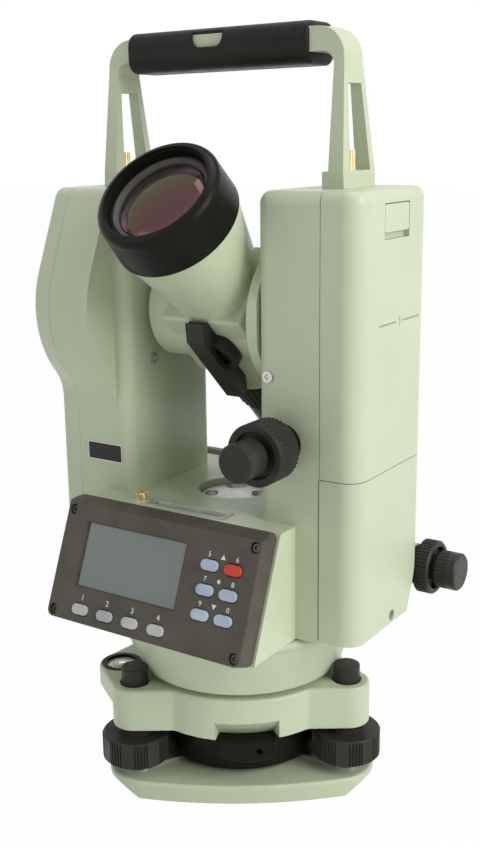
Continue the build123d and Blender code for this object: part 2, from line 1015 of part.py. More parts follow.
def make_yoke():
    middle_z, height = between(alidade_bottom, standard_top)
    with BuildPart() as yoke:
        x, width = between(right_inner, right_seam)
        with Locations((x, 0, middle_z)):
            Box(width, 2 * half_depth, height)
        inner_edges = yoke.edges().filter_by(Axis.Z).group_by(Axis.X)[0]
        top_edges = yoke.faces().sort_by(Axis.Z)[-1].edges().filter_by(Axis.X)
        inner_top = yoke.faces().sort_by(Axis.Z)[-1].edges().filter_by(Axis.Y).group_by(Axis.X)[0]
        fillet(inner_edges + top_edges + inner_top, radius=right_round)
        x, width = between(left_step, left_inner)
        with BuildSketch(Plane.XY.offset(alidade_bottom)) as foot:
            with Locations((x, 0)):
                Rectangle(width, 2 * half_depth)
            fillet(foot.vertices().group_by(Axis.X)[-1], radius=left_round)
        extrude(amount=height)
        left_box = yoke.edges().filter_by(Axis.X).group_by(Axis.Z)[-1]
        fillet(
            [e for e in left_box if e.center().X < 0],
            radius=left_round,
        )
        loft(
            [
                bulged_outline(Plane.YZ.offset(left_seam), bulge_at_seam, depth_at_seam),
                bulged_outline(Plane.YZ.offset(left_step), bulge_at_step, half_depth - fit_gap),
            ],
            ruled=True,
        )
        profile = (
            (-housing_depth(alidade_bottom), alidade_bottom),
            (-housing_depth(saddle_top), saddle_top),
            (housing_depth(saddle_top), saddle_top),
            (housing_depth(alidade_bottom), alidade_bottom),
        )
        extrude(
            flat(Plane.YZ.offset(saddle_left), profile),
            amount=saddle_right - saddle_left,
        )
        boss = disc(HORIZONTAL_UNIT.offset(right_inner), horizontal_boss_radius)
        extrude(boss, amount=horizontal_boss_end - right_inner)
        labyrinth = Plane.XY.offset(labyrinth_bottom)
        with BuildSketch(labyrinth):
            Circle(labyrinth_outer_radius)
            Circle(labyrinth_inner_radius, mode=Mode.SUBTRACT)
        extrude(amount=alidade_bottom - labyrinth_bottom)
        bore = disc(Plane.XY.offset(alidade_bottom), spindle_radius + fit_gap)
        extrude(bore, amount=spindle_top - alidade_bottom, mode=Mode.SUBTRACT)
        bush = disc(AXLE.offset(bush_left_end), bush_radius + fit_gap)
        extrude(bush, amount=bush_right_end - bush_left_end, mode=Mode.SUBTRACT)
        bay = disc(AXLE.offset(left_seam), circle_bay_radius)
        extrude(bay, amount=circle_bay_depth, mode=Mode.SUBTRACT)
        for unit, face in ((VERTICAL_UNIT, half_depth), (HORIZONTAL_UNIT, horizontal_boss_end)):
            shaft = disc(unit.offset(face), unit_shaft_radius + run_gap)
            extrude(shaft, amount=-unit_shaft_depth, mode=Mode.SUBTRACT)
        with BuildSketch(Plane.XY.offset(saddle_top - recess_depth)):
            with Locations((recess_x, recess_y)):
                Circle(recess_radius)
        extrude(amount=recess_depth, mode=Mode.SUBTRACT)
        with BuildSketch(Plane.XY.offset(saddle_top - plate_level_depth)):
            with Locations((plate_level_x, plate_level_y)):
                Rectangle(plate_level_length + 2 * fit_gap, plate_level_width + 2 * fit_gap)
        extrude(amount=plate_level_depth, mode=Mode.SUBTRACT)
        with BuildSketch(Plane.XY.offset(saddle_top - level_screw_length)):
            with Locations((level_screw_x, level_screw_y)):
                Circle(level_screw_shank + fit_gap)
        extrude(amount=level_screw_length, mode=Mode.SUBTRACT)
        with BuildSketch(Plane.XY.offset(standard_top - thumb_screw_length)):
            with Locations(*thumb_screw_places()):
                Circle(thumb_screw_shank + fit_gap)
        extrude(amount=thumb_screw_length, mode=Mode.SUBTRACT)
        for face in (FRONT_FACE, BACK_FACE):
            with BuildSketch(face.offset(-panel_screw_length)):
                with Locations(*panel_screw_places()):
                    Circle(panel_screw_shank + fit_gap)
            extrude(amount=panel_screw_length, mode=Mode.SUBTRACT)
        for place in cover_screw_places():
            hole = disc(place, cover_screw_shank + fit_gap)
            extrude(hole, amount=-cover_screw_length, mode=Mode.SUBTRACT)
    return yoke.part


def thumb_screw_places():
    return [
        (handle_middle + side * thumb_screw_x, thumb_screw_y) for side in (-1, 1)
    ]


def panel_screw_places():
    return [(x, v) for x in panel_screw_x for v in panel_screw_v]


def cover_screw_places():
    """Planes on the outer faces, with the screw's axis pointing out."""
    places = []
    for side in (-1, 1):
        places.append(
            Plane((front_screw_x, side * half_depth, front_screw_z), (1, 0, 0), (0, side, 0))
        )
        places.append(
            Plane((left_inner, side * inner_screw_y, inner_screw_z), (0, 1, 0), (1, 0, 0))
        )
    return places


def make_circle_cover():
    with BuildPart() as cover:
        loft(
            [
                bulged_outline(Plane.YZ.offset(left_outer), bulge_at_outer, depth_at_outer),
                bulged_outline(Plane.YZ.offset(left_seam - fit_gap), bulge_at_seam, depth_at_seam),
            ],
            ruled=True,
        )
        fillet(cover.faces().sort_by(Axis.X)[0].edges(), radius=cover_edge_round)
    return cover.part


def make_side_cover():
    middle_z, height = between(cover_bottom, cover_height)
    x, width = between(right_seam + fit_gap, right_outer)
    with BuildPart() as cover:
        with Locations((x, 0, middle_z)):
            Box(width, 2 * half_depth, height)
        fillet(cover.edges().filter_by(Axis.Z).group_by(Axis.X)[-1], radius=outer_round)
        fillet(
            cover.edges().group_by(Axis.Z)[0].filter_by(Axis.Y),
            radius=2 * fit_gap,
        )
        run = side_cut_upper[0] - side_cut_lower[0]
        rise = side_cut_upper[1] - side_cut_lower[1]
        cut = (
            (side_cut_upper[0] + run, side_cut_upper[1] + rise),
            (side_cut_lower[0] - run, side_cut_lower[1] - rise),
            (side_cut_upper[0] + run, side_cut_lower[1] - rise),
        )
        extrude(flat(Plane.YZ.offset(right_seam), cut), amount=2 * width, mode=Mode.SUBTRACT)
        hole = Plane((right_outer, side_screw_y, side_screw_z), (0, 1, 0), (1, 0, 0))
        extrude(disc(hole, panel_screw_pocket), amount=-width / 2, mode=Mode.SUBTRACT)
        extrude(disc(hole, panel_screw_shank + fit_gap), amount=-width, mode=Mode.SUBTRACT)
    return cover.part


def latch_plane():
    return Plane((right_outer, 0, 0), (0, 1, 0), (1, 0, 0))


def make_battery_pack():
    bottom = cover_height + seam_gap
    middle_z, height = between(bottom, standard_top)
    x, width = between(right_seam + seam_gap, right_outer)
    with BuildPart() as pack:
        with Locations((x, 0, middle_z)):
            Box(width, 2 * half_depth, height)
        fillet(pack.edges().filter_by(Axis.Z).group_by(Axis.X)[-1], radius=outer_round)
        top = pack.faces().sort_by(Axis.Z)[-1]
        inner = top.edges().filter_by(Axis.Y).group_by(Axis.X)[0]
        fillet([e for e in top.edges() if e not in inner], radius=top_round)
        y, span = between(latch_left, latch_right)
        low = latch_bottom - latch_travel - move_gap
        z, rise = between(low, latch_top + move_gap)
        with BuildSketch(latch_plane()):
            with Locations((y, z)):
                Rectangle(span + 2 * move_gap, rise)
        extrude(amount=-latch_pocket_depth, mode=Mode.SUBTRACT)
    return pack.part


def make_battery_latch():
    y, span = between(latch_left, latch_right)
    z, rise = between(latch_bottom, latch_top)
    with BuildPart() as latch:
        with BuildSketch(latch_plane().offset(-latch_pocket_depth + move_gap)):
            with Locations((y, z)):
                Rectangle(span, rise)
        extrude(amount=latch_pocket_depth - move_gap)
        with BuildSketch(latch_plane().offset(-latch_thickness / 2)):
            with Locations((y, latch_bottom + latch_lip / 2)):
                Rectangle(span - latch_lip, latch_lip / 2)
        extrude(amount=latch_thickness, mode=Mode.SUBTRACT)
    return latch.part


# Plate level


def make_plate_level_case():
    bottom = saddle_top - plate_level_depth
    top = saddle_top + plate_level_rise
    with BuildPart() as case:
        with BuildSketch(Plane.XY.offset(bottom)):
            with Locations((plate_level_x, plate_level_y)):
                Rectangle(plate_level_length, plate_level_width)
        extrude(amount=top - bottom)
        with BuildSketch(Plane.XY.offset(bottom + plate_level_wall)):
            with Locations((plate_level_x, plate_level_y)):
                Rectangle(
                    plate_level_length - 2 * plate_level_wall,
                    plate_level_width - 2 * plate_level_wall,
                )
        extrude(amount=top, mode=Mode.SUBTRACT)
    return case.part


def make_plate_level_vial():
    height = saddle_top - plate_level_depth + plate_level_wall + vial_radius
    start = Plane(
        (plate_level_x - vial_length / 2, plate_level_y, height), (0, 1, 0), (1, 0, 0)
    )
    with BuildPart() as vial:
        extrude(disc(start, vial_radius), amount=vial_length)
    return vial.part


def cross_slot(plane, length):
    """Cross for a screwdriver on the plane's origin."""
    with BuildSketch(plane) as slot:
        Rectangle(length, slot_width)
        Rectangle(slot_width, length)
    return slot.sketch


def make_level_adjusting_screw():
    place = Plane((level_screw_x, level_screw_y, saddle_top), (1, 0, 0), (0, 0, 1))
    with BuildPart() as screw:
        extrude(disc(place, level_screw_radius), amount=level_screw_height)
        fillet(screw.edges().group_by(Axis.Z)[-1], radius=slot_width / 2)
        extrude(disc(place, level_screw_shank), amount=-level_screw_length)
        slot = cross_slot(place.offset(level_screw_height - slot_depth), 2 * level_screw_radius)
        extrude(slot, amount=2 * slot_depth, mode=Mode.SUBTRACT)
    return screw.part


def make_plummet_cap():
    place = Plane((recess_x, recess_y, saddle_top - recess_depth), (1, 0, 0), (0, 0, 1))
    with BuildPart() as cap:
        extrude(disc(place, plummet_cap_radius), amount=plummet_cap_height)
        fillet(cap.edges().group_by(Axis.Z)[-1], radius=cap_round)
        with BuildSketch(place.offset(plummet_cap_height / 2)):
            with PolarLocations(plummet_cap_radius * 0.72, 4, start_angle=30):
                SlotOverall(plummet_cap_radius * 0.62, plummet_cap_radius * 0.42, rotation=90)
        extrude(amount=plummet_cap_height, mode=Mode.SUBTRACT)
    return cap.part


# Trunnion axis


def make_trunnion_bushes():
    bore = axle_radius + run_gap
    with BuildPart() as bushes:
        for low, high in ((bush_left_end, bush_left_rim), (bush_right_rim, bush_right_end)):
            extrude(disc(AXLE.offset(low), bush_radius), amount=high - low)
            extrude(disc(AXLE.offset(low), bore), amount=high - low, mode=Mode.SUBTRACT)
    return bushes.part


def make_trunnion_axle():
    with BuildPart() as axle:
        for low, high in ((axle_left, -axle_inner), (axle_inner, axle_right)):
            extrude(disc(AXLE.offset(low), axle_radius), amount=high - low)
    return axle.part


def make_vertical_circle():
    bore = axle_radius + fit_gap
    with BuildPart() as circle:
        extrude(
            disc(AXLE.offset(vertical_circle_face), vertical_circle_radius),
            amount=vertical_circle_back - vertical_circle_face,
        )
        extrude(
            disc(AXLE.offset(vertical_circle_face), vertical_circle_hub_radius),
            amount=vertical_circle_hub_end - vertical_circle_face,
        )
        extrude(
            disc(AXLE.offset(vertical_circle_face), bore),
            amount=circle_bay_depth,
            mode=Mode.SUBTRACT,
        )
    return circle.part


# Telescope


def make_telescope_body():
    bore = lens_radius + fit_gap
    with BuildPart() as body:
        with BuildSketch(SCOPE.offset(block_back)):
            Rectangle(2 * block_half_width, 2 * block_half_height)
        extrude(amount=block_front - block_back)
        fillet(body.edges(), radius=block_round)
        root = ((0, 0), (barrel_root_radius, 0))
        outline = [(radius, along) for along, radius in barrel_profile]
        last = barrel_profile[-1][0]
        revolve(
            turned(
                SCOPE,
                (
                    *root,
                    *outline,
                    (barrel_neck_radius, last),
                    (barrel_neck_radius, barrel_neck_end),
                    (bore, barrel_neck_end),
                    (bore, lens_seat_start),
                    (barrel_bore_radius, lens_seat_start),
                    (barrel_bore_radius, barrel_bore_start),
                    (0, barrel_bore_start),
                ),
            ),
            axis=turning_axis(SCOPE),
        )
        revolve(
            turned(
                SCOPE,
                (
                    (0, 0),
                    (rear_tube_radius, 0),
                    (rear_tube_radius, rear_tube_end),
                    (rear_neck_radius, rear_tube_end),
                    (rear_neck_radius, rear_neck_end),
                    (0, rear_neck_end),
                ),
            ),
            axis=turning_axis(SCOPE),
        )
        extrude(
            disc(AXLE.offset(trunnion_drum_left), trunnion_drum_radius),
            amount=hub_disc_left - trunnion_drum_left,
        )
        revolve(
            turned(
                AXLE,
                (
                    (0, block_half_width),
                    (trunnion_drum_radius, block_half_width),
                    (hub_disc_radius, hub_disc_left),
                    (hub_disc_radius, hub_disc_right),
                    (0, hub_disc_right),
                ),
            ),
            axis=turning_axis(AXLE),
        )
        for start, run in (
            (trunnion_drum_left, -axle_inner - trunnion_drum_left),
            (axle_inner, hub_disc_right - axle_inner),
        ):
            extrude(
                disc(AXLE.offset(start), axle_radius + fit_gap),
                amount=run,
                mode=Mode.SUBTRACT,
            )
    return body.part


def make_objective_hood():
    bore = barrel_neck_radius + fit_gap
    with BuildPart() as hood:
        with BuildSketch(Plane(SCOPE.origin, SCOPE.x_dir, -SCOPE.y_dir)):
            with BuildLine():
                Polyline(
                    (bore, hood_base),
                    (hood_base_radius, hood_base),
                    (hood_shoulder_radius, hood_shoulder),
                )
                ThreePointArc(
                    (hood_shoulder_radius, hood_shoulder),
                    (
                        hood_front_radius + (hood_shoulder_radius - hood_front_radius) * 0.72,
                        hood_shoulder + (hood_front - hood_shoulder) * 0.72,
                    ),
                    (hood_front_radius, hood_front),
                )
                Polyline(
                    (hood_front_radius, hood_front),
                    (hood_mouth_radius, hood_front),
                    (hood_mouth_radius, hood_step),
                    (bore, hood_step),
                    (bore, hood_base),
                )
            make_face()
        revolve(axis=turning_axis(SCOPE))
    return hood.part


def make_objective_lens():
    with BuildPart() as lens:
        revolve(
            crowned(SCOPE, lens_radius, lens_back, lens_edge, lens_crown),
            axis=turning_axis(SCOPE),
        )
    return lens.part


def make_focus_ring():
    with BuildPart() as ring:
        extrude(
            ribbed(SCOPE.offset(focus_start), focus_radius, 0.5, 40, 1, 0.0),
            amount=focus_end - focus_start,
        )
        extrude(
            disc(SCOPE.offset(focus_start), rear_neck_radius + move_gap),
            amount=focus_end - focus_start,
            mode=Mode.SUBTRACT,
        )
    return ring.part


def make_eyepiece():
    bore = rear_neck_radius + move_gap
    end = rear_neck_end - move_gap
    with BuildPart() as eyepiece:
        revolve(
            turned(
                SCOPE,
                (
                    (0, end),
                    (bore, end),
                    (bore, eyepiece_start),
                    (eyepiece_radius, eyepiece_start),
                    (eyepiece_radius, eyepiece_step),
                    (eyepiece_tube_radius, eyepiece_step - ring_edge),
                    (eyepiece_tube_radius, eyepiece_end + ring_edge),
                    (eyepiece_tube_radius - ring_edge, eyepiece_end),
                    (eyepiece_cup_radius, eyepiece_end),
                    (eyepiece_cup_radius / 2, eyepiece_end + eyepiece_cup_depth),
                    (0, eyepiece_end + eyepiece_cup_depth),
                ),
            ),
            axis=turning_axis(SCOPE),
        )
    return eyepiece.part


def make_collimator_sights():
    under = Plane(SCOPE.origin, SCOPE.x_dir, -SCOPE.y_dir).offset(block_half_height)
    above = Plane(SCOPE.origin, SCOPE.x_dir, SCOPE.y_dir).offset(block_half_height)
    side = Plane(SCOPE.origin, SCOPE.z_dir, SCOPE.x_dir)
    low = block_half_height
    high = block_half_height + sight_height
    profile = (
        (sight_back, -high),
        (sight_back, -low - sight_height / 2),
        (block_back, -low),
        (block_front, -low),
        (block_front, -low - sight_height / 3),
        (sight_front, -low - sight_height / 3),
        (sight_front - sight_window_cut, -high),
    )
    with BuildPart() as sights:
        for x, half_width, facing in (
            ((sight_left + sight_right) / 2, (sight_right - sight_left) / 2, 1),
            (upper_sight_x, upper_sight_half_width, -1),
        ):
            points = [(along, facing * across) for along, across in profile]
            extrude(flat(side.offset(x), points), amount=half_width, both=True)
        with BuildSketch(under):
            with Locations((sight_disc_x, sight_disc_along)):
                Circle(sight_disc_radius)
        extrude(amount=sight_disc_height)
        with BuildSketch(under.offset(sight_disc_height - sight_disc_recess)):
            with Locations((sight_disc_x + fit_gap, sight_disc_along)):
                Circle(sight_disc_recess_radius)
        extrude(amount=sight_disc_recess, mode=Mode.SUBTRACT)
        with BuildSketch(above):
            with Locations((upper_sight_x, 0)):
                Rectangle(2 * sight_disc_radius, 3 * sight_disc_radius)
        extrude(amount=sight_disc_recess)
        drum = disc(AXLE.offset(-block_half_width), trunnion_drum_radius + fit_gap)
        extrude(drum, amount=2 * block_half_width, mode=Mode.SUBTRACT)
        tube = disc(SCOPE.offset(sight_back - cut_over), rear_tube_radius + fit_gap)
        extrude(tube, amount=sight_front - sight_back, mode=Mode.SUBTRACT)
    return sights.part


# Clamp and tangent units


def make_knob_collars():
    with BuildPart() as collars:
        for unit, face, ring, radius in (
            (VERTICAL_UNIT, half_depth, vertical_ring_back, vertical_collar_radius),
            (HORIZONTAL_UNIT, horizontal_boss_end, horizontal_ring_back, vertical_collar_radius),
        ):
            reach = ring - move_gap - face
            extrude(disc(unit.offset(face), radius), amount=reach)
            extrude(disc(unit.offset(face), unit_collar_bore), amount=reach, mode=Mode.SUBTRACT)
    return collars.part


def make_clamp_ring(unit, back, front, radius):
    with BuildPart() as ring:
        extrude(
            ribbed(unit.offset(back), radius, 0.45, 44, 1, 0.0),
            amount=front - back - unit_edge,
        )
        revolve(
            turned(
                unit,
                (
                    (0, front - unit_edge),
                    (radius, front - unit_edge),
                    (radius - unit_edge, front),
                    (0, front),
                ),
            ),
            axis=turning_axis(unit),
        )
        recess = disc(unit.offset(front - unit_recess_depth), unit_recess_radius)
        extrude(recess, amount=unit_recess_depth, mode=Mode.SUBTRACT)
        bore = disc(unit.offset(back), unit_shaft_radius + move_gap)
        extrude(bore, amount=front - back, mode=Mode.SUBTRACT)
    return ring.part


def make_tangent_knob(unit, face, front, end, radius):
    shaft_end = face - unit_shaft_depth + move_gap
    neck_start = front - unit_recess_depth + move_gap
    body_start = neck_start + unit_neck_length
    with BuildPart() as knob:
        revolve(
            turned(
                unit,
                (
                    (0, shaft_end),
                    (unit_shaft_radius, shaft_end),
                    (unit_shaft_radius, neck_start),
                    (unit_neck_radius, neck_start),
                    (unit_neck_radius, body_start),
                    (radius - unit_edge, body_start),
                    (radius - unit_edge, end - unit_edge),
                    (radius - 2 * unit_edge, end),
                    (0, end),
                ),
            ),
            axis=turning_axis(unit),
        )
        half = (end + body_start) / 2
        extrude(
            ribbed(unit.offset(body_start), radius, 0.4, 30, 1, 0.0),
            amount=half - body_start,
        )
        revolve(
            turned(
                unit,
                (
                    (0, half),
                    (radius, half),
                    (radius, end - unit_edge),
                    (radius - unit_edge, end),
                    (0, end),
                ),
            ),
            axis=turning_axis(unit),
        )
    return knob.part


# Carrying handle


def make_handle_frame():
    outer_foot = handle_outer_foot
    with BuildPart() as frame:
        with BuildSketch(Plane.XZ.offset(-handle_back_foot - cut_over)) as arch:
            with Locations((handle_middle, 0)):
                with BuildLine():
                    Polyline(
                        (-outer_foot, standard_top),
                        (-handle_outer_top, handle_bend_start),
                        (-handle_outer_top, handle_top),
                        (handle_outer_top, handle_top),
                        (handle_outer_top, handle_bend_start),
                        (outer_foot, standard_top),
                        (handle_inner_foot, standard_top),
                        (handle_inner_foot, handle_step_height),
                        (handle_inner_step, handle_step_height),
                        (handle_inner_top, handle_bar_bottom),
                        (-handle_inner_top, handle_bar_bottom),
                        (-handle_inner_step, handle_step_height),
                        (-handle_inner_foot, handle_step_height),
                        (-handle_inner_foot, standard_top),
                        close=True,
                    )
                make_face()
            fillet(arch.vertices().group_by(Axis.Y)[-1], radius=handle_outer_bend)
            inner = [
                v for v in arch.vertices() if abs(v.Y - handle_bar_bottom) < fit_gap
            ]
            fillet(inner, radius=handle_inner_bend)
        extrude(amount=2 * handle_back_foot + 2 * cut_over)
        side = (
            (handle_front_foot, standard_top),
            (handle_front_foot, handle_step_height),
            (handle_front_top, handle_bend_start),
            (handle_front_top, handle_top),
            (handle_back_top, handle_top),
            (handle_back_top, handle_bend_start),
            (handle_back_foot, handle_step_height),
            (handle_back_foot, standard_top),
        )
        reach = outer_foot + abs(handle_middle) + cut_over
        extrude(flat(Plane.YZ, side), amount=reach, both=True, mode=Mode.INTERSECT)
        opening = (
            (window_front, window_bottom),
            (window_back_bottom, window_bottom),
            (window_back_top, window_top),
            (window_front, window_top),
        )
        extrude(flat(Plane.YZ, opening), amount=reach, both=True, mode=Mode.SUBTRACT)
        with BuildSketch(Plane.XY.offset(standard_top)):
            with Locations(*thumb_screw_places()):
                Circle(thumb_screw_shank + fit_gap)
        extrude(amount=window_bottom - standard_top, mode=Mode.SUBTRACT)
    return frame.part


def make_handle_grip():
    x, width = between(grip_left, grip_right)
    z, height = between(grip_bottom, grip_top)
    with BuildPart() as grip:
        with BuildSketch(Plane.YZ.offset(grip_left)) as section:
            with Locations((0, z)):
                RectangleRounded(2 * grip_half_depth, height, grip_round)
        extrude(amount=width)
        fillet(grip.faces().sort_by(Axis.X)[0].edges(), radius=grip_end_round)
        fillet(grip.faces().sort_by(Axis.X)[-1].edges(), radius=grip_end_round)
        bar_width, bar_height = bar_back - bar_front, handle_top - handle_bar_bottom
        with Locations(
            (x, (handle_front_top + handle_back_top) / 2, (handle_top + handle_bar_bottom) / 2)
        ):
            Box(
                width,
                handle_back_top - handle_front_top + 2 * fit_gap,
                bar_height + 2 * fit_gap,
                mode=Mode.SUBTRACT,
            )
        notch_x, notch_width = between(grip_notch_left, grip_notch_right)
        with BuildSketch(Plane.XZ.offset(-handle_front_top)) as notch:
            with Locations((notch_x, (grip_notch_bottom + grip_top + cut_over) / 2)):
                Rectangle(notch_width, grip_top + cut_over - grip_notch_bottom)
            fillet(notch.vertices().group_by(Axis.Y)[0], radius=grip_notch_round)
        extrude(amount=grip_half_depth, mode=Mode.SUBTRACT)
    return grip.part


def make_handle_screws():
    seat = window_bottom
    with BuildPart() as screws:
        for x, y in thumb_screw_places():
            place = Plane((x, y, seat), (1, 0, 0), (0, 0, 1))
            extrude(ribbed(place, thumb_screw_radius, 0.3, 18, 1, 0.0), amount=thumb_screw_height)
            low = seat - standard_top + thumb_screw_length - move_gap
            extrude(disc(place, thumb_screw_shank), amount=-low)
            slot = place.offset(thumb_screw_height - slot_depth)
            with BuildSketch(slot):
                Rectangle(slot_width, 2 * thumb_screw_radius)
            extrude(amount=slot_depth, mode=Mode.SUBTRACT)
    return screws.part


# Display panels


def make_panel(face):
    side = Plane(face.origin, face.z_dir, -face.x_dir).offset(-panel_left)
    profile = (
        (0, panel_low),
        (0, panel_high),
        (-panel_bevel_depth, panel_high_back),
        (-panel_thickness, panel_high_back),
        (-panel_thickness, panel_low),
    )
    with BuildPart() as panel:
        extrude(flat(side, profile), amount=-(panel_right - panel_left))
        normal = Axis(face.origin, face.z_dir)
        corners = panel.edges().filter_by(normal)
        fillet(corners, radius=panel_corner_round)
        front = panel.faces().sort_by(normal)[-1]
        fillet(front.edges(), radius=panel_edge_round)
        with BuildSketch(face.offset(-window_depth)):
            x, width = between(window_left, window_right)
            v, height = between(window_low, window_high)
            with Locations((x, v)):
                Rectangle(width, height)
        extrude(amount=window_depth, mode=Mode.SUBTRACT)
        extrude(
            capsule(
                face.offset(-key_pocket_depth),
                bottom_key_places() + right_key_places(),
                key_length + 2 * key_gap,
                key_width + 2 * key_gap,
            ),
            amount=key_pocket_depth,
            mode=Mode.SUBTRACT,
        )
        with BuildSketch(face.offset(-panel_screw_pocket_depth)):
            with Locations(*panel_screw_places()):
                Circle(panel_screw_pocket)
        extrude(amount=panel_screw_pocket_depth, mode=Mode.SUBTRACT)
        with BuildSketch(face.offset(-panel_thickness)):
            with Locations(*panel_screw_places()):
                Circle(panel_screw_shank + fit_gap)
        extrude(amount=panel_thickness, mode=Mode.SUBTRACT)
    return panel.part


def bottom_key_places():
    return [(x, bottom_key_v) for x in bottom_key_x]


def right_key_places():
    return [(x, v) for v in right_key_v for x in right_key_x]


def make_display(face):
    with BuildPart() as glass:
        with BuildSketch(face.offset(-window_depth)):
            x, width = between(window_left, window_right)
            v, height = between(window_low, window_high)
            with Locations((x, v)):
                Rectangle(width - 2 * fit_gap, height - 2 * fit_gap)
        extrude(amount=glass_thickness)
    return glass.part


def make_keys(face, places, sunk):
    with BuildPart() as keys:
        extrude(
            capsule(face.offset(-sunk), places, key_length, key_width),
            amount=sunk + key_rise,
        )
        normal = Axis(face.origin, face.z_dir)
        top = keys.faces().filter_by(normal).group_by(normal)[-1]
        fillet(top.edges(), radius=key_rise / 2)
    return keys.part


def make_panel_screws():
    with BuildPart() as screws:
        for face in (FRONT_FACE, BACK_FACE):
            seat = face.offset(-panel_screw_pocket_depth)
            for x, v in panel_screw_places():
                place = Plane(seat.from_local_coords((x, v, 0)), face.x_dir, face.z_dir)
                extrude(disc(place, panel_screw_radius), amount=panel_screw_head)
                length = panel_screw_length - panel_screw_pocket_depth - move_gap
                extrude(disc(place, panel_screw_shank), amount=-length)
                slot = cross_slot(place.offset(panel_screw_head - slot_depth), 2 * panel_screw_shank)
                extrude(slot, amount=slot_depth, mode=Mode.SUBTRACT)
    return screws.part


def make_cover_screws():
    with BuildPart() as screws:
        for place in cover_screw_places():
            extrude(disc(place, cover_screw_radius), amount=cover_screw_head)
            extrude(disc(place, cover_screw_shank), amount=move_gap - cover_screw_length)
            slot = cross_slot(place.offset(cover_screw_head - slot_depth), cover_screw_radius)
            extrude(slot, amount=slot_depth, mode=Mode.SUBTRACT)
    return screws.part


save(make_base_plate(), "base_plate")
save(make_spring_plate(), "spring_plate")
save(make_thread_insert(), "thread_insert")
for number in range(foot_count):
    save(make_foot_screw(number), f"foot_screw_{number + 1}")
save(make_tribrach_body(), "tribrach_body")
save(make_foot_screw_caps(), "foot_screw_caps")
save(make_lock_drum(), "lock_drum")
save(make_lock_lever(), "lock_lever")
save(make_lug_studs(), "lug_studs")
save(make_circular_level_case(), "circular_level_case")
save(make_circular_level_vial(), "circular_level_vial")
save(make_lower_housing(), "lower_housing")
save(make_spindle_sleeve(), "spindle_sleeve")
save(make_horizontal_circle(), "horizontal_circle")
save(make_spindle(), "spindle")
save(make_yoke(), "yoke")
save(make_circle_cover(), "circle_cover")
save(make_side_cover(), "side_cover")
save(make_battery_pack(), "battery_pack")
save(make_battery_latch(), "battery_latch")
save(make_plate_level_case(), "plate_level_case")
save(make_plate_level_vial(), "plate_level_vial")
save(make_level_adjusting_screw(), "level_adjusting_screw")
save(make_plummet_cap(), "plummet_cap")
save(make_trunnion_bushes(), "trunnion_bushes")
save(make_trunnion_axle(), "trunnion_axle")
save(make_vertical_circle(), "vertical_circle")
save(make_telescope_body(), "telescope_body")
save(make_objective_hood(), "objective_hood")
save(make_objective_lens(), "objective_lens")
save(make_focus_ring(), "focus_ring")
save(make_eyepiece(), "eyepiece")
save(make_collimator_sights(), "collimator_sights")
save(make_knob_collars(), "knob_collars")
save(
    make_clamp_ring(VERTICAL_UNIT, vertical_ring_back, vertical_ring_front, vertical_ring_radius),
    "vertical_clamp_ring",
)
save(
    make_clamp_ring(
        HORIZONTAL_UNIT, horizontal_ring_back, horizontal_ring_front, horizontal_ring_radius
    ),
    "horizontal_clamp_ring",
)
save(
    make_tangent_knob(
        VERTICAL_UNIT, half_depth, vertical_ring_front, vertical_knob_end, vertical_knob_radius
    ),
    "vertical_tangent_knob",
)
save(
    make_tangent_knob(
        HORIZONTAL_UNIT,
        horizontal_boss_end,
        horizontal_ring_front,
        horizontal_knob_end,
        horizontal_knob_radius,
    ),
    "horizontal_tangent_knob",
)
save(make_handle_frame(), "handle_frame")
save(make_handle_grip(), "handle_grip")
save(make_handle_screws(), "handle_screws")
save(make_panel(FRONT_FACE), "front_panel")
save(make_panel(BACK_FACE), "back_panel")
save(make_display(FRONT_FACE), "front_display")
save(make_display(BACK_FACE), "back_display")
for number, place in enumerate(bottom_key_places()):
    save(make_keys(FRONT_FACE, [place], key_sunk), f"bottom_key_{number + 1}")
for number, place in enumerate(right_key_places()):
    save(make_keys(FRONT_FACE, [place], key_sunk), f"right_key_{number + 1}")
save(
    make_keys(BACK_FACE, bottom_key_places() + right_key_places(), key_pocket_depth),
    "back_keypad",
)
save(make_panel_screws(), "panel_screws")
save(make_cover_screws(), "cover_screws")
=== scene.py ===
import json
import math

import bpy
from mathutils import Matrix, Vector


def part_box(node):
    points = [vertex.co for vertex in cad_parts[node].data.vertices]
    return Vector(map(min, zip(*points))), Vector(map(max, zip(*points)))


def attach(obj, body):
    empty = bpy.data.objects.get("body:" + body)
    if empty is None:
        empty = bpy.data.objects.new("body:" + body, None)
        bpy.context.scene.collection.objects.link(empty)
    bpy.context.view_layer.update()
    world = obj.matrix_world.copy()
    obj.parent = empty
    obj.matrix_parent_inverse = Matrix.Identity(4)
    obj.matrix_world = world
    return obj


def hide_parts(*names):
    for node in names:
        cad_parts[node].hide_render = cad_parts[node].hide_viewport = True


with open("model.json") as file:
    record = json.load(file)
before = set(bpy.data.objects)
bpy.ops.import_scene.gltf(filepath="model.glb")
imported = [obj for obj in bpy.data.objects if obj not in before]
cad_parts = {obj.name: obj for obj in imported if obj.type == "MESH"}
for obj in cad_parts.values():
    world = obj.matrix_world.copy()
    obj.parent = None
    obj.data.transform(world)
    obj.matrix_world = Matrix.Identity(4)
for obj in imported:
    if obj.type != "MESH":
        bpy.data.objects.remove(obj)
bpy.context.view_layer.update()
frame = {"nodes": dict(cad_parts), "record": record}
nodes = frame["nodes"]

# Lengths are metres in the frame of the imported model: Z up along the vertical axis,
# X along the trunnion axis towards the battery, Y away from the front display.
mm = 0.001
skin = 0.06 * mm            # how far printed marks stand proud of a surface
on_axis = 0.001 * mm        # radius at which a turned form closes

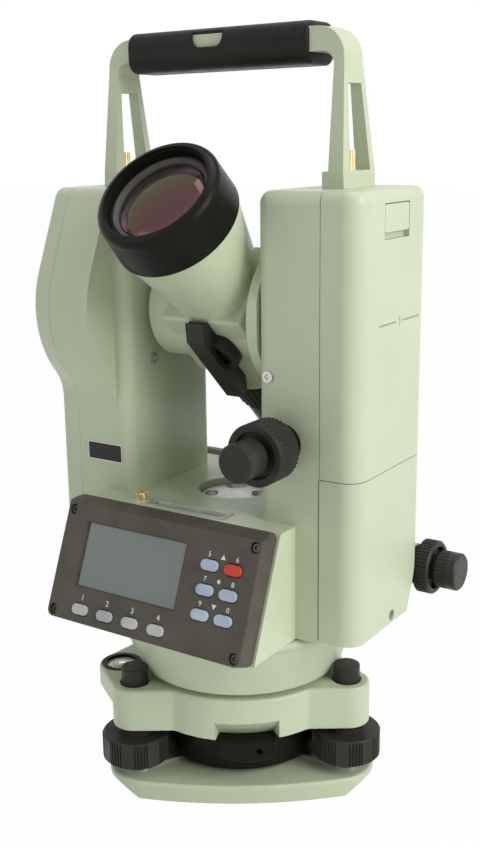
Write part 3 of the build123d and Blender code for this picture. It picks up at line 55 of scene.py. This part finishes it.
# Places that the model's own source also uses
panel_lean = math.radians(22.5)
panel_origin = Vector((0, -75, 104.6)) * mm
back_panel_shift = -6.7 * mm
window = (-44.8 * mm, 13.5 * mm, 4.2 * mm, 35.2 * mm)       # left, right, low, high
window_depth = 1.0 * mm
scope_tilt = math.radians(44)
seam_x = 65.1 * mm

trunnion_low, trunnion_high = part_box("trunnion_axle")
trunnion = Vector((0, 0, (trunnion_low.z + trunnion_high.z) / 2))


# Frames that pieces are drawn in


def placed(origin, along, normal):
    """Matrix of a frame whose X runs along and whose Z points out."""
    side = normal.cross(along)
    turn = Matrix((along, side, normal)).transposed().to_4x4()
    return Matrix.Translation(origin) @ turn


def panel_frame(facing):
    """Frame of the front (-1) or back (1) display panel."""
    origin = panel_origin.copy()
    origin.y *= -facing
    origin.x = back_panel_shift if facing > 0 else 0
    normal = Vector((0, facing * math.cos(panel_lean), math.sin(panel_lean)))
    return placed(origin, Vector((-facing, 0, 0)), normal)


def scope_frame():
    """Frame of the telescope: Z runs towards the objective."""
    towards = Vector((0, -math.cos(scope_tilt), math.sin(scope_tilt)))
    return placed(trunnion, Vector((1, 0, 0)), towards)


# Materials

# The mix node names its sockets alike for numbers and colours, so these go by number
mix_color_a, mix_color_b, mix_color_out = 6, 7, 2


class Finish:
    """A procedural material under construction."""

    def __init__(self, name, color, roughness, metallic=0.0):
        self.material = bpy.data.materials.new(name)
        self.material.use_nodes = True
        self.tree = self.material.node_tree
        self.shader = self.tree.nodes["Principled BSDF"]
        self.place = self.node("ShaderNodeTexCoord").outputs["Object"]
        self.color = color
        self.color_out = None
        self.edge = None
        self.normal = None
        self.set("Base Color", (*color, 1))
        self.set("Roughness", roughness)
        self.set("Metallic", metallic)

    def node(self, kind, **settings):
        """New node of the material, with its settings."""
        node = self.tree.nodes.new(kind)
        for key, value in settings.items():
            setattr(node, key, value)
        return node

    def set(self, socket, value):
        """Constant on a socket of the shader."""
        self.shader.inputs[socket].default_value = value

    def feed(self, node, socket, value):
        """Link or constant into a node."""
        if isinstance(value, bpy.types.NodeSocket):
            self.tree.links.new(value, node.inputs[socket])
        else:
            node.inputs[socket].default_value = value

    def noise(self, scale, detail=3.0, stretch=(1, 1, 1)):
        """Noise between 0 and 1 over the piece's own coordinates."""
        mapping = self.node("ShaderNodeMapping")
        self.feed(mapping, "Vector", self.place)
        self.feed(mapping, "Scale", stretch)
        noise = self.node("ShaderNodeTexNoise")
        self.feed(noise, "Vector", mapping.outputs["Vector"])
        self.feed(noise, "Scale", scale)
        self.feed(noise, "Detail", detail)
        return noise.outputs["Fac"]

    def span(self, value, low, high, out_low=0.0, out_high=1.0):
        """Value stretched from one range to another, and held inside it."""
        node = self.node("ShaderNodeMapRange", clamp=True)
        self.feed(node, "Value", value)
        for socket, number in (
            ("From Min", low), ("From Max", high), ("To Min", out_low), ("To Max", out_high),
        ):
            self.feed(node, socket, number)
        return node.outputs["Result"]

    def times(self, a, b):
        """Product of two values."""
        node = self.node("ShaderNodeMath", operation="MULTIPLY")
        self.feed(node, 0, a)
        self.feed(node, 1, b)
        return node.outputs[0]

    def blend(self, factor, a, b):
        """Colour a where the factor is 0, and b where it is 1."""
        node = self.node("ShaderNodeMix", data_type="RGBA")
        self.feed(node, "Factor", factor)
        for socket, value in ((mix_color_a, a), (mix_color_b, b)):
            self.feed(node, socket, value if isinstance(value, bpy.types.NodeSocket) else (*value, 1))
        return node.outputs[mix_color_out]

    def vary(self, scale, share):
        """Base colour that drifts a little darker and lighter over the surface."""
        dark = [c * (1 - share) for c in self.color]
        light = [min(1, c * (1 + share)) for c in self.color]
        self.color_out = self.blend(self.span(self.noise(scale), 0.35, 0.65), dark, light)
        self.tree.links.new(self.color_out, self.shader.inputs["Base Color"])
        return self

    def overlay(self, mask, color):
        """Another colour where the mask is 1."""
        self.color_out = self.blend(mask, self.color_out, color)
        self.tree.links.new(self.color_out, self.shader.inputs["Base Color"])
        return self

    def smear(self, scale, low, high):
        """Roughness that changes softly, as on a handled surface."""
        rough = self.span(self.noise(scale), 0.3, 0.7, low, high)
        self.tree.links.new(rough, self.shader.inputs["Roughness"])
        return self

    def soften(self, radius):
        """Sharp edges catch the light as if they were slightly round."""
        bevel = self.node("ShaderNodeBevel", samples=4)
        self.feed(bevel, "Radius", radius)
        self.edge = bevel.outputs["Normal"]
        self.normal = self.edge
        return self

    def edge_mask(self):
        """1 along sharp edges and 0 on flat stretches."""
        true = self.node("ShaderNodeNewGeometry").outputs["Normal"]
        dot = self.node("ShaderNodeVectorMath", operation="DOT_PRODUCT")
        self.feed(dot, 0, self.edge)
        self.feed(dot, 1, true)
        return self.span(dot.outputs["Value"], 0.99, 0.93)

    def grain(self, scale, depth, strength=0.5, stretch=(1, 1, 1)):
        """Fine relief."""
        bump = self.node("ShaderNodeBump")
        self.feed(bump, "Strength", strength)
        self.feed(bump, "Distance", depth)
        self.feed(bump, "Height", self.noise(scale, 2.0, stretch))
        if self.normal is not None:
            self.feed(bump, "Normal", self.normal)
        self.normal = bump.outputs["Normal"]
        return self

    def done(self):
        """The finished material."""
        if self.normal is not None:
            self.tree.links.new(self.normal, self.shader.inputs["Normal"])
        return self.material


def sprayed_paint(name, color, worn=False):
    """Satin paint with a fine spray texture, chipped along the edges where it is worn."""
    primer, scuff_shade = (0.09, 0.085, 0.06), (0.2, 0.21, 0.14)
    paint = Finish(name, color, 0.34)
    paint.set("Specular IOR Level", 0.3)
    paint.set("Coat Weight", 0.08)
    paint.set("Coat Roughness", 0.2)
    paint.vary(22, 0.025)
    paint.smear(60, 0.3, 0.4)
    paint.soften(0.5 * mm)
    if worn:
        spots = paint.span(paint.noise(330, 5), 0.54, 0.56)
        chips = paint.times(paint.edge_mask(), spots)
        paint.overlay(chips, primer)
        scuffs = paint.span(paint.noise(520, 4, (1, 1, 3)), 0.735, 0.76)
        paint.overlay(scuffs, scuff_shade)
    paint.grain(1500, 0.05 * mm, 0.3)
    paint.grain(260, 0.12 * mm, 0.12)
    return paint.done()


def moulded_plastic(name, color, roughness, grain_depth=0.06 * mm):
    """Moulded plastic with a fine spark-eroded texture."""
    plastic = Finish(name, color, roughness)
    plastic.set("Specular IOR Level", 0.2)
    plastic.vary(70, 0.12)
    plastic.smear(90, roughness - 0.07, roughness + 0.08)
    plastic.soften(0.35 * mm)
    plastic.grain(2600, grain_depth)
    return plastic.done()


def soft_rubber(name, color):
    """Handle grip: matt, with a faint dusty sheen."""
    rubber = Finish(name, color, 0.5)
    rubber.set("Specular IOR Level", 0.14)
    rubber.set("Sheen Weight", 0.03)
    rubber.set("Sheen Roughness", 0.5)
    rubber.vary(45, 0.2)
    rubber.smear(120, 0.36, 0.5)
    rubber.soften(0.6 * mm)
    rubber.grain(1900, 0.1 * mm, 0.55)
    return rubber.done()


def enamel(name, color, roughness):
    """Smooth dark enamel on turned metal."""
    coat = Finish(name, color, roughness)
    coat.set("Specular IOR Level", 0.1)
    coat.vary(50, 0.1)
    coat.smear(140, roughness - 0.05, roughness + 0.08)
    coat.soften(0.4 * mm)
    coat.grain(1800, 0.04 * mm, 0.3)
    return coat.done()


def turned_metal(name, color, roughness):
    """Bare metal with fine turning marks and a few darker stains."""
    metal = Finish(name, color, roughness, 1.0)
    metal.vary(120, 0.05)
    metal.smear(200, roughness - 0.04, roughness + 0.06)
    metal.soften(0.15 * mm)
    metal.grain(900, 0.02 * mm, 0.3, (1, 1, 9))
    return metal.done()


def display_window(name, color):
    """Grey-green display cell under a clear, slightly glossy window."""
    glass = Finish(name, color, 0.22)
    glass.set("Specular IOR Level", 0.4)
    glass.set("Coat Weight", 0.6)
    glass.set("Coat Roughness", 0.04)
    glass.vary(38, 0.035)
    glass.grain(700, 0.02 * mm, 0.15)
    return glass.done()


def clear_glass(name, color, roughness=0.03, through=1.0):
    """Clear or tinted glass."""
    glass = Finish(name, color, roughness)
    glass.set("Transmission Weight", through)
    glass.set("IOR", 1.5)
    glass.vary(80, 0.02)
    return glass.done()


def coated_lens(name, color):
    """Objective glass with a violet coating."""
    glass = Finish(name, color, 0.015)
    glass.set("Transmission Weight", 1.0)
    glass.set("IOR", 1.52)
    glass.set("Thin Film Thickness", 520)
    glass.set("Thin Film IOR", 1.38)
    glass.vary(60, 0.03)
    return glass.done()


def liquid_window(name, color):
    """Pale green liquid of a level under clear glass."""
    glass = Finish(name, color, 0.12)
    glass.set("Coat Weight", 1.0)
    glass.set("Coat Roughness", 0.03)
    glass.set("Subsurface Weight", 0.25)
    glass.set("Subsurface Radius", (4 * mm, 5 * mm, 3 * mm))
    glass.vary(120, 0.06)
    return glass.done()


def printed(name, color):
    """Screen-printed ink."""
    ink = Finish(name, color, 0.5)
    ink.vary(400, 0.05)
    ink.grain(2400, 0.02 * mm, 0.3)
    return ink.done()


green = (0.52, 0.592, 0.425)
paint = sprayed_paint("green_paint", green)
worn_paint = sprayed_paint("worn_green_paint", green, worn=True)
panel_plastic = moulded_plastic("panel_plastic", (0.088, 0.079, 0.063), 0.46, 0.08 * mm)
grey_key_plastic = moulded_plastic("grey_key_plastic", (0.45, 0.49, 0.49), 0.35, 0.03 * mm)
plate_black = moulded_plastic("plate_black", (0.03, 0.028, 0.026), 0.4)
pale_metal = turned_metal("pale_metal", (0.58, 0.59, 0.55), 0.45)
lens_glass = coated_lens("lens_glass", (0.5, 0.43, 0.47))
bubble_glass = clear_glass("bubble_glass", (0.93, 0.97, 0.85), 0.02, 0.6)
lining_black = enamel("lining_black", (0.02, 0.015, 0.017), 0.4)
dull_metal = enamel("dull_metal", (0.085, 0.08, 0.078), 0.35)
inner_glass = enamel("inner_glass", (0.05, 0.034, 0.044), 0.12)
white_ink = printed("white_ink", (0.78, 0.79, 0.76))
black_ink = printed("black_ink", (0.012, 0.012, 0.012))
seam_shade = printed("seam_shade", (0.1, 0.115, 0.075))
mark_paint = printed("mark_paint", (0.27, 0.32, 0.22))

slot_materials = {
    "green_paint": paint,
    "black_paint": enamel("black_paint", (0.008, 0.0085, 0.006), 0.3),
    "black_plastic": moulded_plastic("black_plastic", (0.03, 0.028, 0.023), 0.38),
    "grip_rubber": soft_rubber("grip_rubber", (0.012, 0.0095, 0.0075)),
    "panel_plastic": panel_plastic,
    "display_glass": display_window("display_glass", (0.069, 0.098, 0.08)),
    "key_plastic": moulded_plastic("key_plastic", (0.42, 0.5, 0.62), 0.35, 0.03 * mm),
    "red_key_plastic": moulded_plastic("red_key_plastic", (0.62, 0.07, 0.035), 0.35, 0.03 * mm),
    "steel": turned_metal("steel", (0.56, 0.55, 0.52), 0.3),
    "black_screw": turned_metal("black_screw", (0.06, 0.058, 0.055), 0.35),
    "brass": turned_metal("brass", (0.82, 0.66, 0.36), 0.3),
    "pale_metal": pale_metal,
    "vial_glass": liquid_window("level_glass", (0.66, 0.72, 0.5)),
    "circle_glass": clear_glass("circle_glass", (0.82, 0.88, 0.85)),
    "lens_glass": lens_glass,
}
for part in frame["record"]["subparts"]:
    node = nodes[part["node"]]
    node.data.materials.clear()
    node.data.materials.append(slot_materials[part["material_slot"]])
for name in ("base_plate", "tribrach_body"):
    nodes[name].data.materials[0] = worn_paint
for number in range(1, 5):
    nodes[f"bottom_key_{number}"].data.materials[0] = grey_key_plastic


# Mesh pieces


def piece(name, points, faces, material, body):
    """New mesh piece in the model's frame, riding on a body."""
    mesh = bpy.data.meshes.new(name)
    mesh.from_pydata([tuple(p) for p in points], [], faces)
    mesh.validate()
    mesh.shade_smooth()
    mesh.set_sharp_from_angle(angle=math.radians(35))
    mesh.materials.append(material)
    obj = bpy.data.objects.new(name, mesh)
    bpy.context.scene.collection.objects.link(obj)
    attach(obj, body)
    return obj


def lathe(name, place, profile, material, body, steps=72, closed=True):
    """Ring or cap turned about the Z axis of its frame from (radius, height) points."""
    points = []
    for number in range(steps):
        angle = 2 * math.pi * number / steps
        for radius, height in profile:
            points.append(place @ Vector((radius * math.cos(angle), radius * math.sin(angle), height)))
    count = len(profile)
    faces = []
    for number in range(steps):
        here, there = number * count, (number + 1) % steps * count
        for step in range(count if closed else count - 1):
            following = (step + 1) % count
            faces.append((here + step, there + step, there + following, here + following))
    return piece(name, points, faces, material, body)


def slab(name, place, outline, low, high, material, body, edge=0.0):
    """Flat plate with the outline given, its edges slightly rounded if asked."""
    count = len(outline)
    points = [place @ Vector((x, y, low)) for x, y in outline]
    points += [place @ Vector((x, y, high)) for x, y in outline]
    faces = [tuple(reversed(range(count))), tuple(range(count, 2 * count))]
    for number in range(count):
        following = (number + 1) % count
        faces.append((number, following, count + following, count + number))
    obj = piece(name, points, faces, material, body)
    if edge:
        bevel = obj.modifiers.new("edge", "BEVEL")
        bevel.width = edge
        bevel.segments = 2
        bevel.limit_method = "ANGLE"
    return obj


def ribbon(name, places, normal, width, material, body):
    """Thin raised strip along a path on a flat surface."""
    lift = normal * skin
    points, faces = [], []
    last = len(places) - 1
    for number, point in enumerate(places):
        along = places[min(number + 1, last)] - places[max(number - 1, 0)]
        side = along.cross(normal).normalized() * width / 2
        for corner in (side - lift, side + lift, lift - side, -side - lift):
            points.append(point + corner)
    for number in range(last):
        here, there = 4 * number, 4 * (number + 1)
        for corner in range(4):
            following = (corner + 1) % 4
            faces.append((here + corner, there + corner, there + following, here + following))
    faces.append((3, 2, 1, 0))
    faces.append(tuple(4 * last + corner for corner in range(4)))
    piece(name, points, faces, material, body)


def rectangle(x, y, width, height, round_radius):
    """Outline of a rectangle about a centre, with round corners."""
    steps = 4
    outline = []
    for corner, (sx, sy) in enumerate(((1, 1), (-1, 1), (-1, -1), (1, -1))):
        middle_x = x + sx * (width / 2 - round_radius)
        middle_y = y + sy * (height / 2 - round_radius)
        start = 90 * corner
        outline += arc(middle_x, middle_y, round_radius, start, start + 90, steps)
    return outline


def arc(x, y, radius, start, end, steps):
    """Points on an arc, angles in degrees."""
    angles = [math.radians(start + (end - start) * step / steps) for step in range(steps + 1)]
    return [(x + radius * math.cos(angle), y + radius * math.sin(angle)) for angle in angles]


# Display panels: a bevelled frame round each display and the marks above the keys


def display_frame(place, name):
    """Narrow lip that runs from the panel's face down to the display."""
    left, right, low, high = window
    clear, lip = 0.05 * mm, 0.5 * mm
    crest, crest_width = -0.12 * mm, 0.35 * mm
    rings = (
        (clear, skin - window_depth),
        (clear, crest),
        (clear + crest_width, crest),
        (lip, 2 * skin - window_depth),
        (lip, skin - window_depth),
    )
    points, faces = [], []
    for inset, height in rings:
        for x, y in (
            (left + inset, low + inset), (right - inset, low + inset),
            (right - inset, high - inset), (left + inset, high - inset),
        ):
            points.append(place @ Vector((x, y, height)))
    for ring in range(len(rings)):
        here, there = 4 * ring, 4 * ((ring + 1) % len(rings))
        for corner in range(4):
            after = (corner + 1) % 4
            faces.append((here + corner, here + after, there + after, there + corner))
    piece(name, points, faces, panel_plastic, "alidade")


def printed_number(place, text, x, y, height, name):
    """A plain number printed on a panel."""
    digit_share = 0.7           # height of a digit in the font's size
    curve = bpy.data.curves.new(name, "FONT")
    curve.body = text
    curve.size = height / digit_share
    curve.align_x = "CENTER"
    curve.align_y = "CENTER"
    curve.extrude = skin / 2
    curve.materials.append(white_ink)
    obj = bpy.data.objects.new(name, curve)
    bpy.context.scene.collection.objects.link(obj)
    obj.matrix_world = place @ Matrix.Translation((x, y, skin / 2))
    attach(obj, "alidade")


def key_marks(place, name):
    """Plain generic marks above the keys: numbers, two arrows and a diamond."""
    bottom_first, bottom_pitch, bottom_rise, bottom_height = -38.6 * mm, 14.85 * mm, -0.6 * mm, 2.6 * mm
    columns = (27.5 * mm, 39.9 * mm)
    rows = (27.7 * mm, 16.6 * mm, 5.5 * mm)
    above_key, outwards, number_height = 3.6 * mm, 1.2 * mm, 2.3 * mm
    reach = 1.3 * mm
    for number in range(1, 5):
        x = bottom_first + (number - 1) * bottom_pitch
        printed_number(place, str(number), x, bottom_rise, bottom_height, f"{name}_number_{number}")
    middle = sum(columns) / 2
    marks = {
        "up": [(-1, 0), (1, 0), (0, 1.7)],
        "diamond": [(-0.8, 1), (0, 0.1), (0.8, 1), (0, 1.9)],
        "down": [(0, 0), (1, 1.7), (-1, 1.7)],
    }
    for (label, outline), row in zip(marks.items(), rows):
        base = row + above_key
        raised = [(middle + x * reach, base + y * reach) for x, y in outline]
        slab(f"{name}_{label}", place, raised, -skin, skin, white_ink, "alidade")
    number = 5
    for row in rows:
        for side, column in zip((-1, 1), columns):
            x, y = column + side * outwards, row + above_key + outwards
            printed_number(place, str(number % 10), x, y, number_height, f"{name}_number_{number}")
            number += 1


for facing, side in ((-1, "front"), (1, "back")):
    panel = panel_frame(facing)
    display_frame(panel, f"{side}_display_frame")
    key_marks(panel, f"{side}_mark")


# Levels


def circular_level_marks():
    """Centre circles and bubble on the crown of the circular vial."""
    low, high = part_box("circular_level_vial")
    centre = Vector(((low.x + high.x) / 2, (low.y + high.y) / 2, high.z))
    place = Matrix.Translation(centre)
    radius = (high.x - low.x) / 2
    crown = 0.9 * mm
    circles = (2.6 * mm, 4.4 * mm)
    half_line = 0.16 * mm
    bubble, bubble_rise = 2.1 * mm, 0.14 * mm
    bubble_drift = (0.6 * mm, -0.4 * mm, 0)

    def surface(r):
        return -crown * (r / radius) ** 2

    for number, circle in enumerate(circles, 1):
        inner, outer = circle - half_line, circle + half_line
        profile = [
            (inner, surface(inner) - skin), (outer, surface(outer) - skin),
            (outer, surface(outer) + skin), (inner, surface(inner) + skin),
        ]
        lathe(f"level_circle_{number}", place, profile, black_ink, "tribrach", 48)
    rim = [
        (on_axis, bubble_rise), (bubble * 0.6, 0.12 * mm), (bubble * 0.92, 0.03 * mm),
        (bubble, surface(bubble) - skin), (on_axis, surface(bubble) - skin),
    ]
    moved = place @ Matrix.Translation(bubble_drift)
    lathe("level_bubble", moved, rim, bubble_glass, "tribrach", 40)


def plate_level_marks():
    """Division rings and bubble on the tube of the plate level, and its pale end seats."""
    low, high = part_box("plate_level_vial")
    radius = (high.z - low.z) / 2
    half_length = (high.x - low.x) / 2
    place = placed((low + high) / 2, Vector((0, 1, 0)), Vector((1, 0, 0)))
    first_mark, mark_pitch, half_line = 6.5 * mm, 2.0 * mm, 0.14 * mm
    seat_start, seat_end = half_length - 3.4 * mm, half_length + 0.2 * mm
    seat_rise, seat_closing = 0.5 * mm, 1.4 * mm
    for side, label in ((-1, "left"), (1, "right")):
        for step in range(4):
            x = side * (first_mark + mark_pitch * step)
            profile = [
                (radius - skin, x - half_line), (radius + skin, x - half_line),
                (radius + skin, x + half_line), (radius - skin, x + half_line),
            ]
            mark = f"plate_level_mark_{label}_{step + 1}"
            lathe(mark, place, profile, black_ink, "alidade", 32)
        seat = [
            (radius - skin, side * seat_start), (radius + seat_rise, side * seat_start),
            (radius + seat_rise, side * seat_end), (radius - seat_closing, side * seat_end),
        ]
        lathe(f"plate_level_end_{label}", place, seat, pale_metal, "alidade", 32)
    half = [(on_axis, 5.6 * mm), (0.9 * mm, 5.2 * mm), (1.3 * mm, 4 * mm)]
    bubble = [(r, -h) for r, h in half] + list(reversed(half))
    bubble_rise = radius - 1.25 * mm
    lifted = Matrix.Translation((0, 0, bubble_rise)) @ place
    lathe("plate_level_bubble", lifted, bubble, bubble_glass, "alidade", 28, closed=False)


circular_level_marks()
plate_level_marks()


# Telescope: what shows through the hood's mouth, with heights from the trunnion axis


def barrel_lining(place):
    """Dark lining of the barrel, with two stops and a floor."""
    outer = 19.0 * mm - skin
    wall = outer - 0.8 * mm
    back, floor_face, mouth = 40.1 * mm, 41.0 * mm, 66.6 * mm
    stops = ((59.3 * mm, 1.8 * mm), (49.9 * mm, 4.2 * mm))      # height and depth of each
    root, tip = 0.7 * mm, 0.3 * mm
    lining = [(on_axis, back), (outer, back), (outer, mouth), (wall, mouth)]
    for height, depth in stops:
        lining += [
            (wall, height + root), (wall - depth, height + tip),
            (wall - depth, height - tip), (wall, height - root),
        ]
    lining += [(wall, floor_face), (on_axis, floor_face)]
    lathe("barrel_lining", place, lining, lining_black, "telescope", closed=False)


def front_lens(place):
    """Crowned objective lens and the ring that holds it."""
    radius, back, edge, crown = 21.2, 70.7, 75.3, 4.0
    ring = [(21.1, 76.0), (24.2, 77.0), (24.2, 78.6), (22.6, 79.3), (20.9, 77.8), (20.9, 76.4)]
    ring = [(r * mm, h * mm) for r, h in ring]
    lathe("lens_retaining_ring", place, ring, dull_metal, "telescope", 96)
    steps = [math.radians(10 * number) for number in range(9)]
    face = [(radius * math.cos(a) * mm, (edge + crown * math.sin(a)) * mm) for a in steps]
    profile = [(on_axis, back * mm), (radius * mm, back * mm), *face, (on_axis, (edge + crown) * mm)]
    lens = lathe("front_lens", place, profile, lens_glass, "telescope", 96, closed=False)
    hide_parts("objective_lens")


def inner_lens(place):
    """Second lens, on the lining's floor."""
    face = [(6, 46.4), (10.5, 45.2), (13.4, 43.6), (13.4, 41.2)]
    profile = [(on_axis, 46.8 * mm), *((r * mm, h * mm) for r, h in face), (on_axis, 41.2 * mm)]
    lathe("inner_lens", place, profile, inner_glass, "telescope", 64, closed=False)


scope = scope_frame()
barrel_lining(scope)
front_lens(scope)
inner_lens(scope)


# Outer casings: number plate, trunnion mark, latch and seams


def number_plate():
    """Small bare plate with a pale border on the front of the left standard."""
    centre = Vector((-56, -34.0, 163.3)) * mm
    place = placed(centre, Vector((1, 0, 0)), Vector((0, -1, 0)))
    root, face, border_face = -0.5 * mm, 0.45 * mm, 0.3 * mm
    plate = rectangle(0, 0, 20.5 * mm, 8.4 * mm, 0.7 * mm)
    slab("number_plate", place, plate, root, face, plate_black, "alidade", 0.12 * mm)
    border = rectangle(0, 0, 21.4 * mm, 9.3 * mm, 1.0 * mm)
    slab("number_plate_border", place, border, root, border_face, pale_metal, "alidade")


def trunnion_mark():
    """Height mark of the trunnion axis on the battery: a line, an arc and a line."""
    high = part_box("battery_pack")[1]
    centre = Vector((high.x, 4 * mm, trunnion.z))
    outwards = Vector((1, 0, 0))
    place = placed(centre, Vector((0, 1, 0)), outwards)
    half, gap, width = 20 * mm, 3.4 * mm, 0.8 * mm
    stretches = {
        "line_left": [(-half, 0), (-gap, 0)],
        "line_right": [(gap, 0), (half, 0)],
        "arc": arc(-1.2 * mm, 0, 1.9 * mm, -62, 62, 10),
    }
    for label, route in stretches.items():
        points = [place @ Vector((x, y, 0)) for x, y in route]
        ribbon(f"trunnion_mark_{label}", points, outwards, width, mark_paint, "battery")


def latch_face():
    """Plain tab of the battery latch, with round corners."""
    low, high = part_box("battery_latch")
    centre = Vector((high.x, (low.y + high.y) / 2, (low.z + high.z) / 2))
    place = placed(centre, Vector((0, 1, 0)), Vector((1, 0, 0)))
    outline = rectangle(0, 0, high.y - low.y, high.z - low.z, 1.2 * mm)
    depth, edge = high.x - low.x, 0.25 * mm
    tab = slab("latch_face", place, outline, -depth, 0, paint, "battery_latch", edge)
    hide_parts("battery_latch")


def side_seams():
    """Shadow lines where the side cover meets the standard."""
    low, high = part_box("side_cover")
    start, width = low.z + 1 * mm, 0.45 * mm
    for side, label in ((-1, "front"), (1, "back")):
        y = side * (high.y - low.y) / 2
        points = [Vector((seam_x, y, z)) for z in (start, high.z)]
        outwards = Vector((0, side, 0))
        ribbon(f"side_seam_{label}", points, outwards, width, seam_shade, "alidade")


number_plate()
trunnion_mark()
latch_face()
side_seams()


# Stage, light and camera


def shown_to_rays(tree):
    """1 for rays that show the background itself: camera, mirror and glass rays."""
    path = tree.nodes.new("ShaderNodeLightPath")
    total = path.outputs["Is Camera Ray"]
    for name in ("Is Glossy Ray", "Is Transmission Ray"):
        most = tree.nodes.new("ShaderNodeMath")
        most.operation = "MAXIMUM"
        tree.links.new(total, most.inputs[0])
        tree.links.new(path.outputs[name], most.inputs[1])
        total = most.outputs[0]
    return total


def white_world(level):
    """White background for the rays that show it, and soft light of its own level."""
    world = bpy.data.worlds.new("studio")
    world.use_nodes = True
    bpy.context.scene.world = world
    tree = world.node_tree
    surroundings = tree.nodes["Background"]
    surroundings.inputs["Color"].default_value = (1.0, 0.985, 0.965, 1)
    surroundings.inputs["Strength"].default_value = level
    shown = tree.nodes.new("ShaderNodeBackground")
    shown.inputs["Color"].default_value = (1, 1, 1, 1)
    shown.inputs["Strength"].default_value = 1.0
    mix = tree.nodes.new("ShaderNodeMixShader")
    tree.links.new(shown_to_rays(tree), mix.inputs[0])
    tree.links.new(surroundings.outputs[0], mix.inputs[1])
    tree.links.new(shown.outputs[0], mix.inputs[2])
    tree.links.new(mix.outputs[0], tree.nodes["World Output"].inputs["Surface"])


def floor(size, glow_share):
    """Plain white floor that keeps a faint shadow of the object."""
    mesh = bpy.data.meshes.new("floor")
    corners = [(sx * size, sy * size, 0) for sx, sy in ((-1, -1), (1, -1), (1, 1), (-1, 1))]
    mesh.from_pydata(corners, [], [(0, 1, 2, 3)])
    material = bpy.data.materials.new("floor")
    material.use_nodes = True
    tree = material.node_tree
    shader = tree.nodes["Principled BSDF"]
    shader.inputs["Base Color"].default_value = (0.93, 0.93, 0.92, 1)
    shader.inputs["Roughness"].default_value = 0.9
    glow = tree.nodes.new("ShaderNodeEmission")
    glow.inputs["Strength"].default_value = 1.0
    share = tree.nodes.new("ShaderNodeMath")
    share.operation = "MULTIPLY"
    share.inputs[1].default_value = glow_share
    mix = tree.nodes.new("ShaderNodeMixShader")
    tree.links.new(shown_to_rays(tree), share.inputs[0])
    tree.links.new(share.outputs[0], mix.inputs[0])
    tree.links.new(shader.outputs[0], mix.inputs[1])
    tree.links.new(glow.outputs[0], mix.inputs[2])
    tree.links.new(mix.outputs[0], tree.nodes["Material Output"].inputs["Surface"])
    mesh.materials.append(material)
    obj = bpy.data.objects.new("floor", mesh)
    bpy.context.scene.collection.objects.link(obj)


def softbox(name, place, size, energy, color=(1, 1, 1)):
    """Rectangular lamp that faces the middle of the object."""
    target = Vector((0, 0, 0.2))
    data = bpy.data.lights.new(name, "AREA")
    data.shape = "RECTANGLE"
    data.size, data.size_y = size
    data.energy = energy
    data.color = color
    obj = bpy.data.objects.new(name, data)
    obj.location = place
    obj.rotation_euler = (Vector(place) - target).to_track_quat("Z", "Y").to_euler()
    bpy.context.scene.collection.objects.link(obj)


def camera():
    """The camera of the photograph, solved from measured points."""
    picture_width, picture_height = 480, 848
    focal_pixels = 1132.44
    axis_x, axis_y = 224.61, 424.08
    sensor = 36
    turn, down, roll = math.radians(34.25), math.radians(14.04), math.radians(-0.95)
    place = Vector((298.47, -449.04, 312.05)) * mm
    back = Vector((math.sin(turn) * math.cos(down), -math.cos(turn) * math.cos(down), math.sin(down)))
    right = Vector((math.cos(turn), math.sin(turn), 0))
    up = back.cross(right)
    rolled_right = right * math.cos(roll) + up * math.sin(roll)
    rolled_up = up * math.cos(roll) - right * math.sin(roll)
    data = bpy.data.cameras.new("camera")
    data.sensor_width = sensor
    data.lens = focal_pixels / picture_height * sensor
    data.shift_x = (picture_width / 2 - axis_x) / picture_height
    data.shift_y = (axis_y - picture_height / 2) / picture_height
    data.clip_start = 10 * mm
    obj = bpy.data.objects.new("camera", data)
    turned = Matrix((rolled_right, rolled_up, back)).transposed().to_4x4()
    obj.matrix_world = Matrix.Translation(place) @ turned
    bpy.context.scene.collection.objects.link(obj)
    bpy.context.scene.camera = obj


bpy.context.scene.view_settings.view_transform = "Standard"
white_world(0.33)
floor(6.0, 0.97)
softbox("key", (1.4, -0.12, 0.86), (0.9, 1.1), 18, (1.0, 0.99, 0.97))
softbox("fill", (-0.9, -1.3, 0.9), (1.0, 1.0), 3.6)
softbox("top", (0.1, 0.2, 1.5), (0.9, 0.9), 6)
camera()
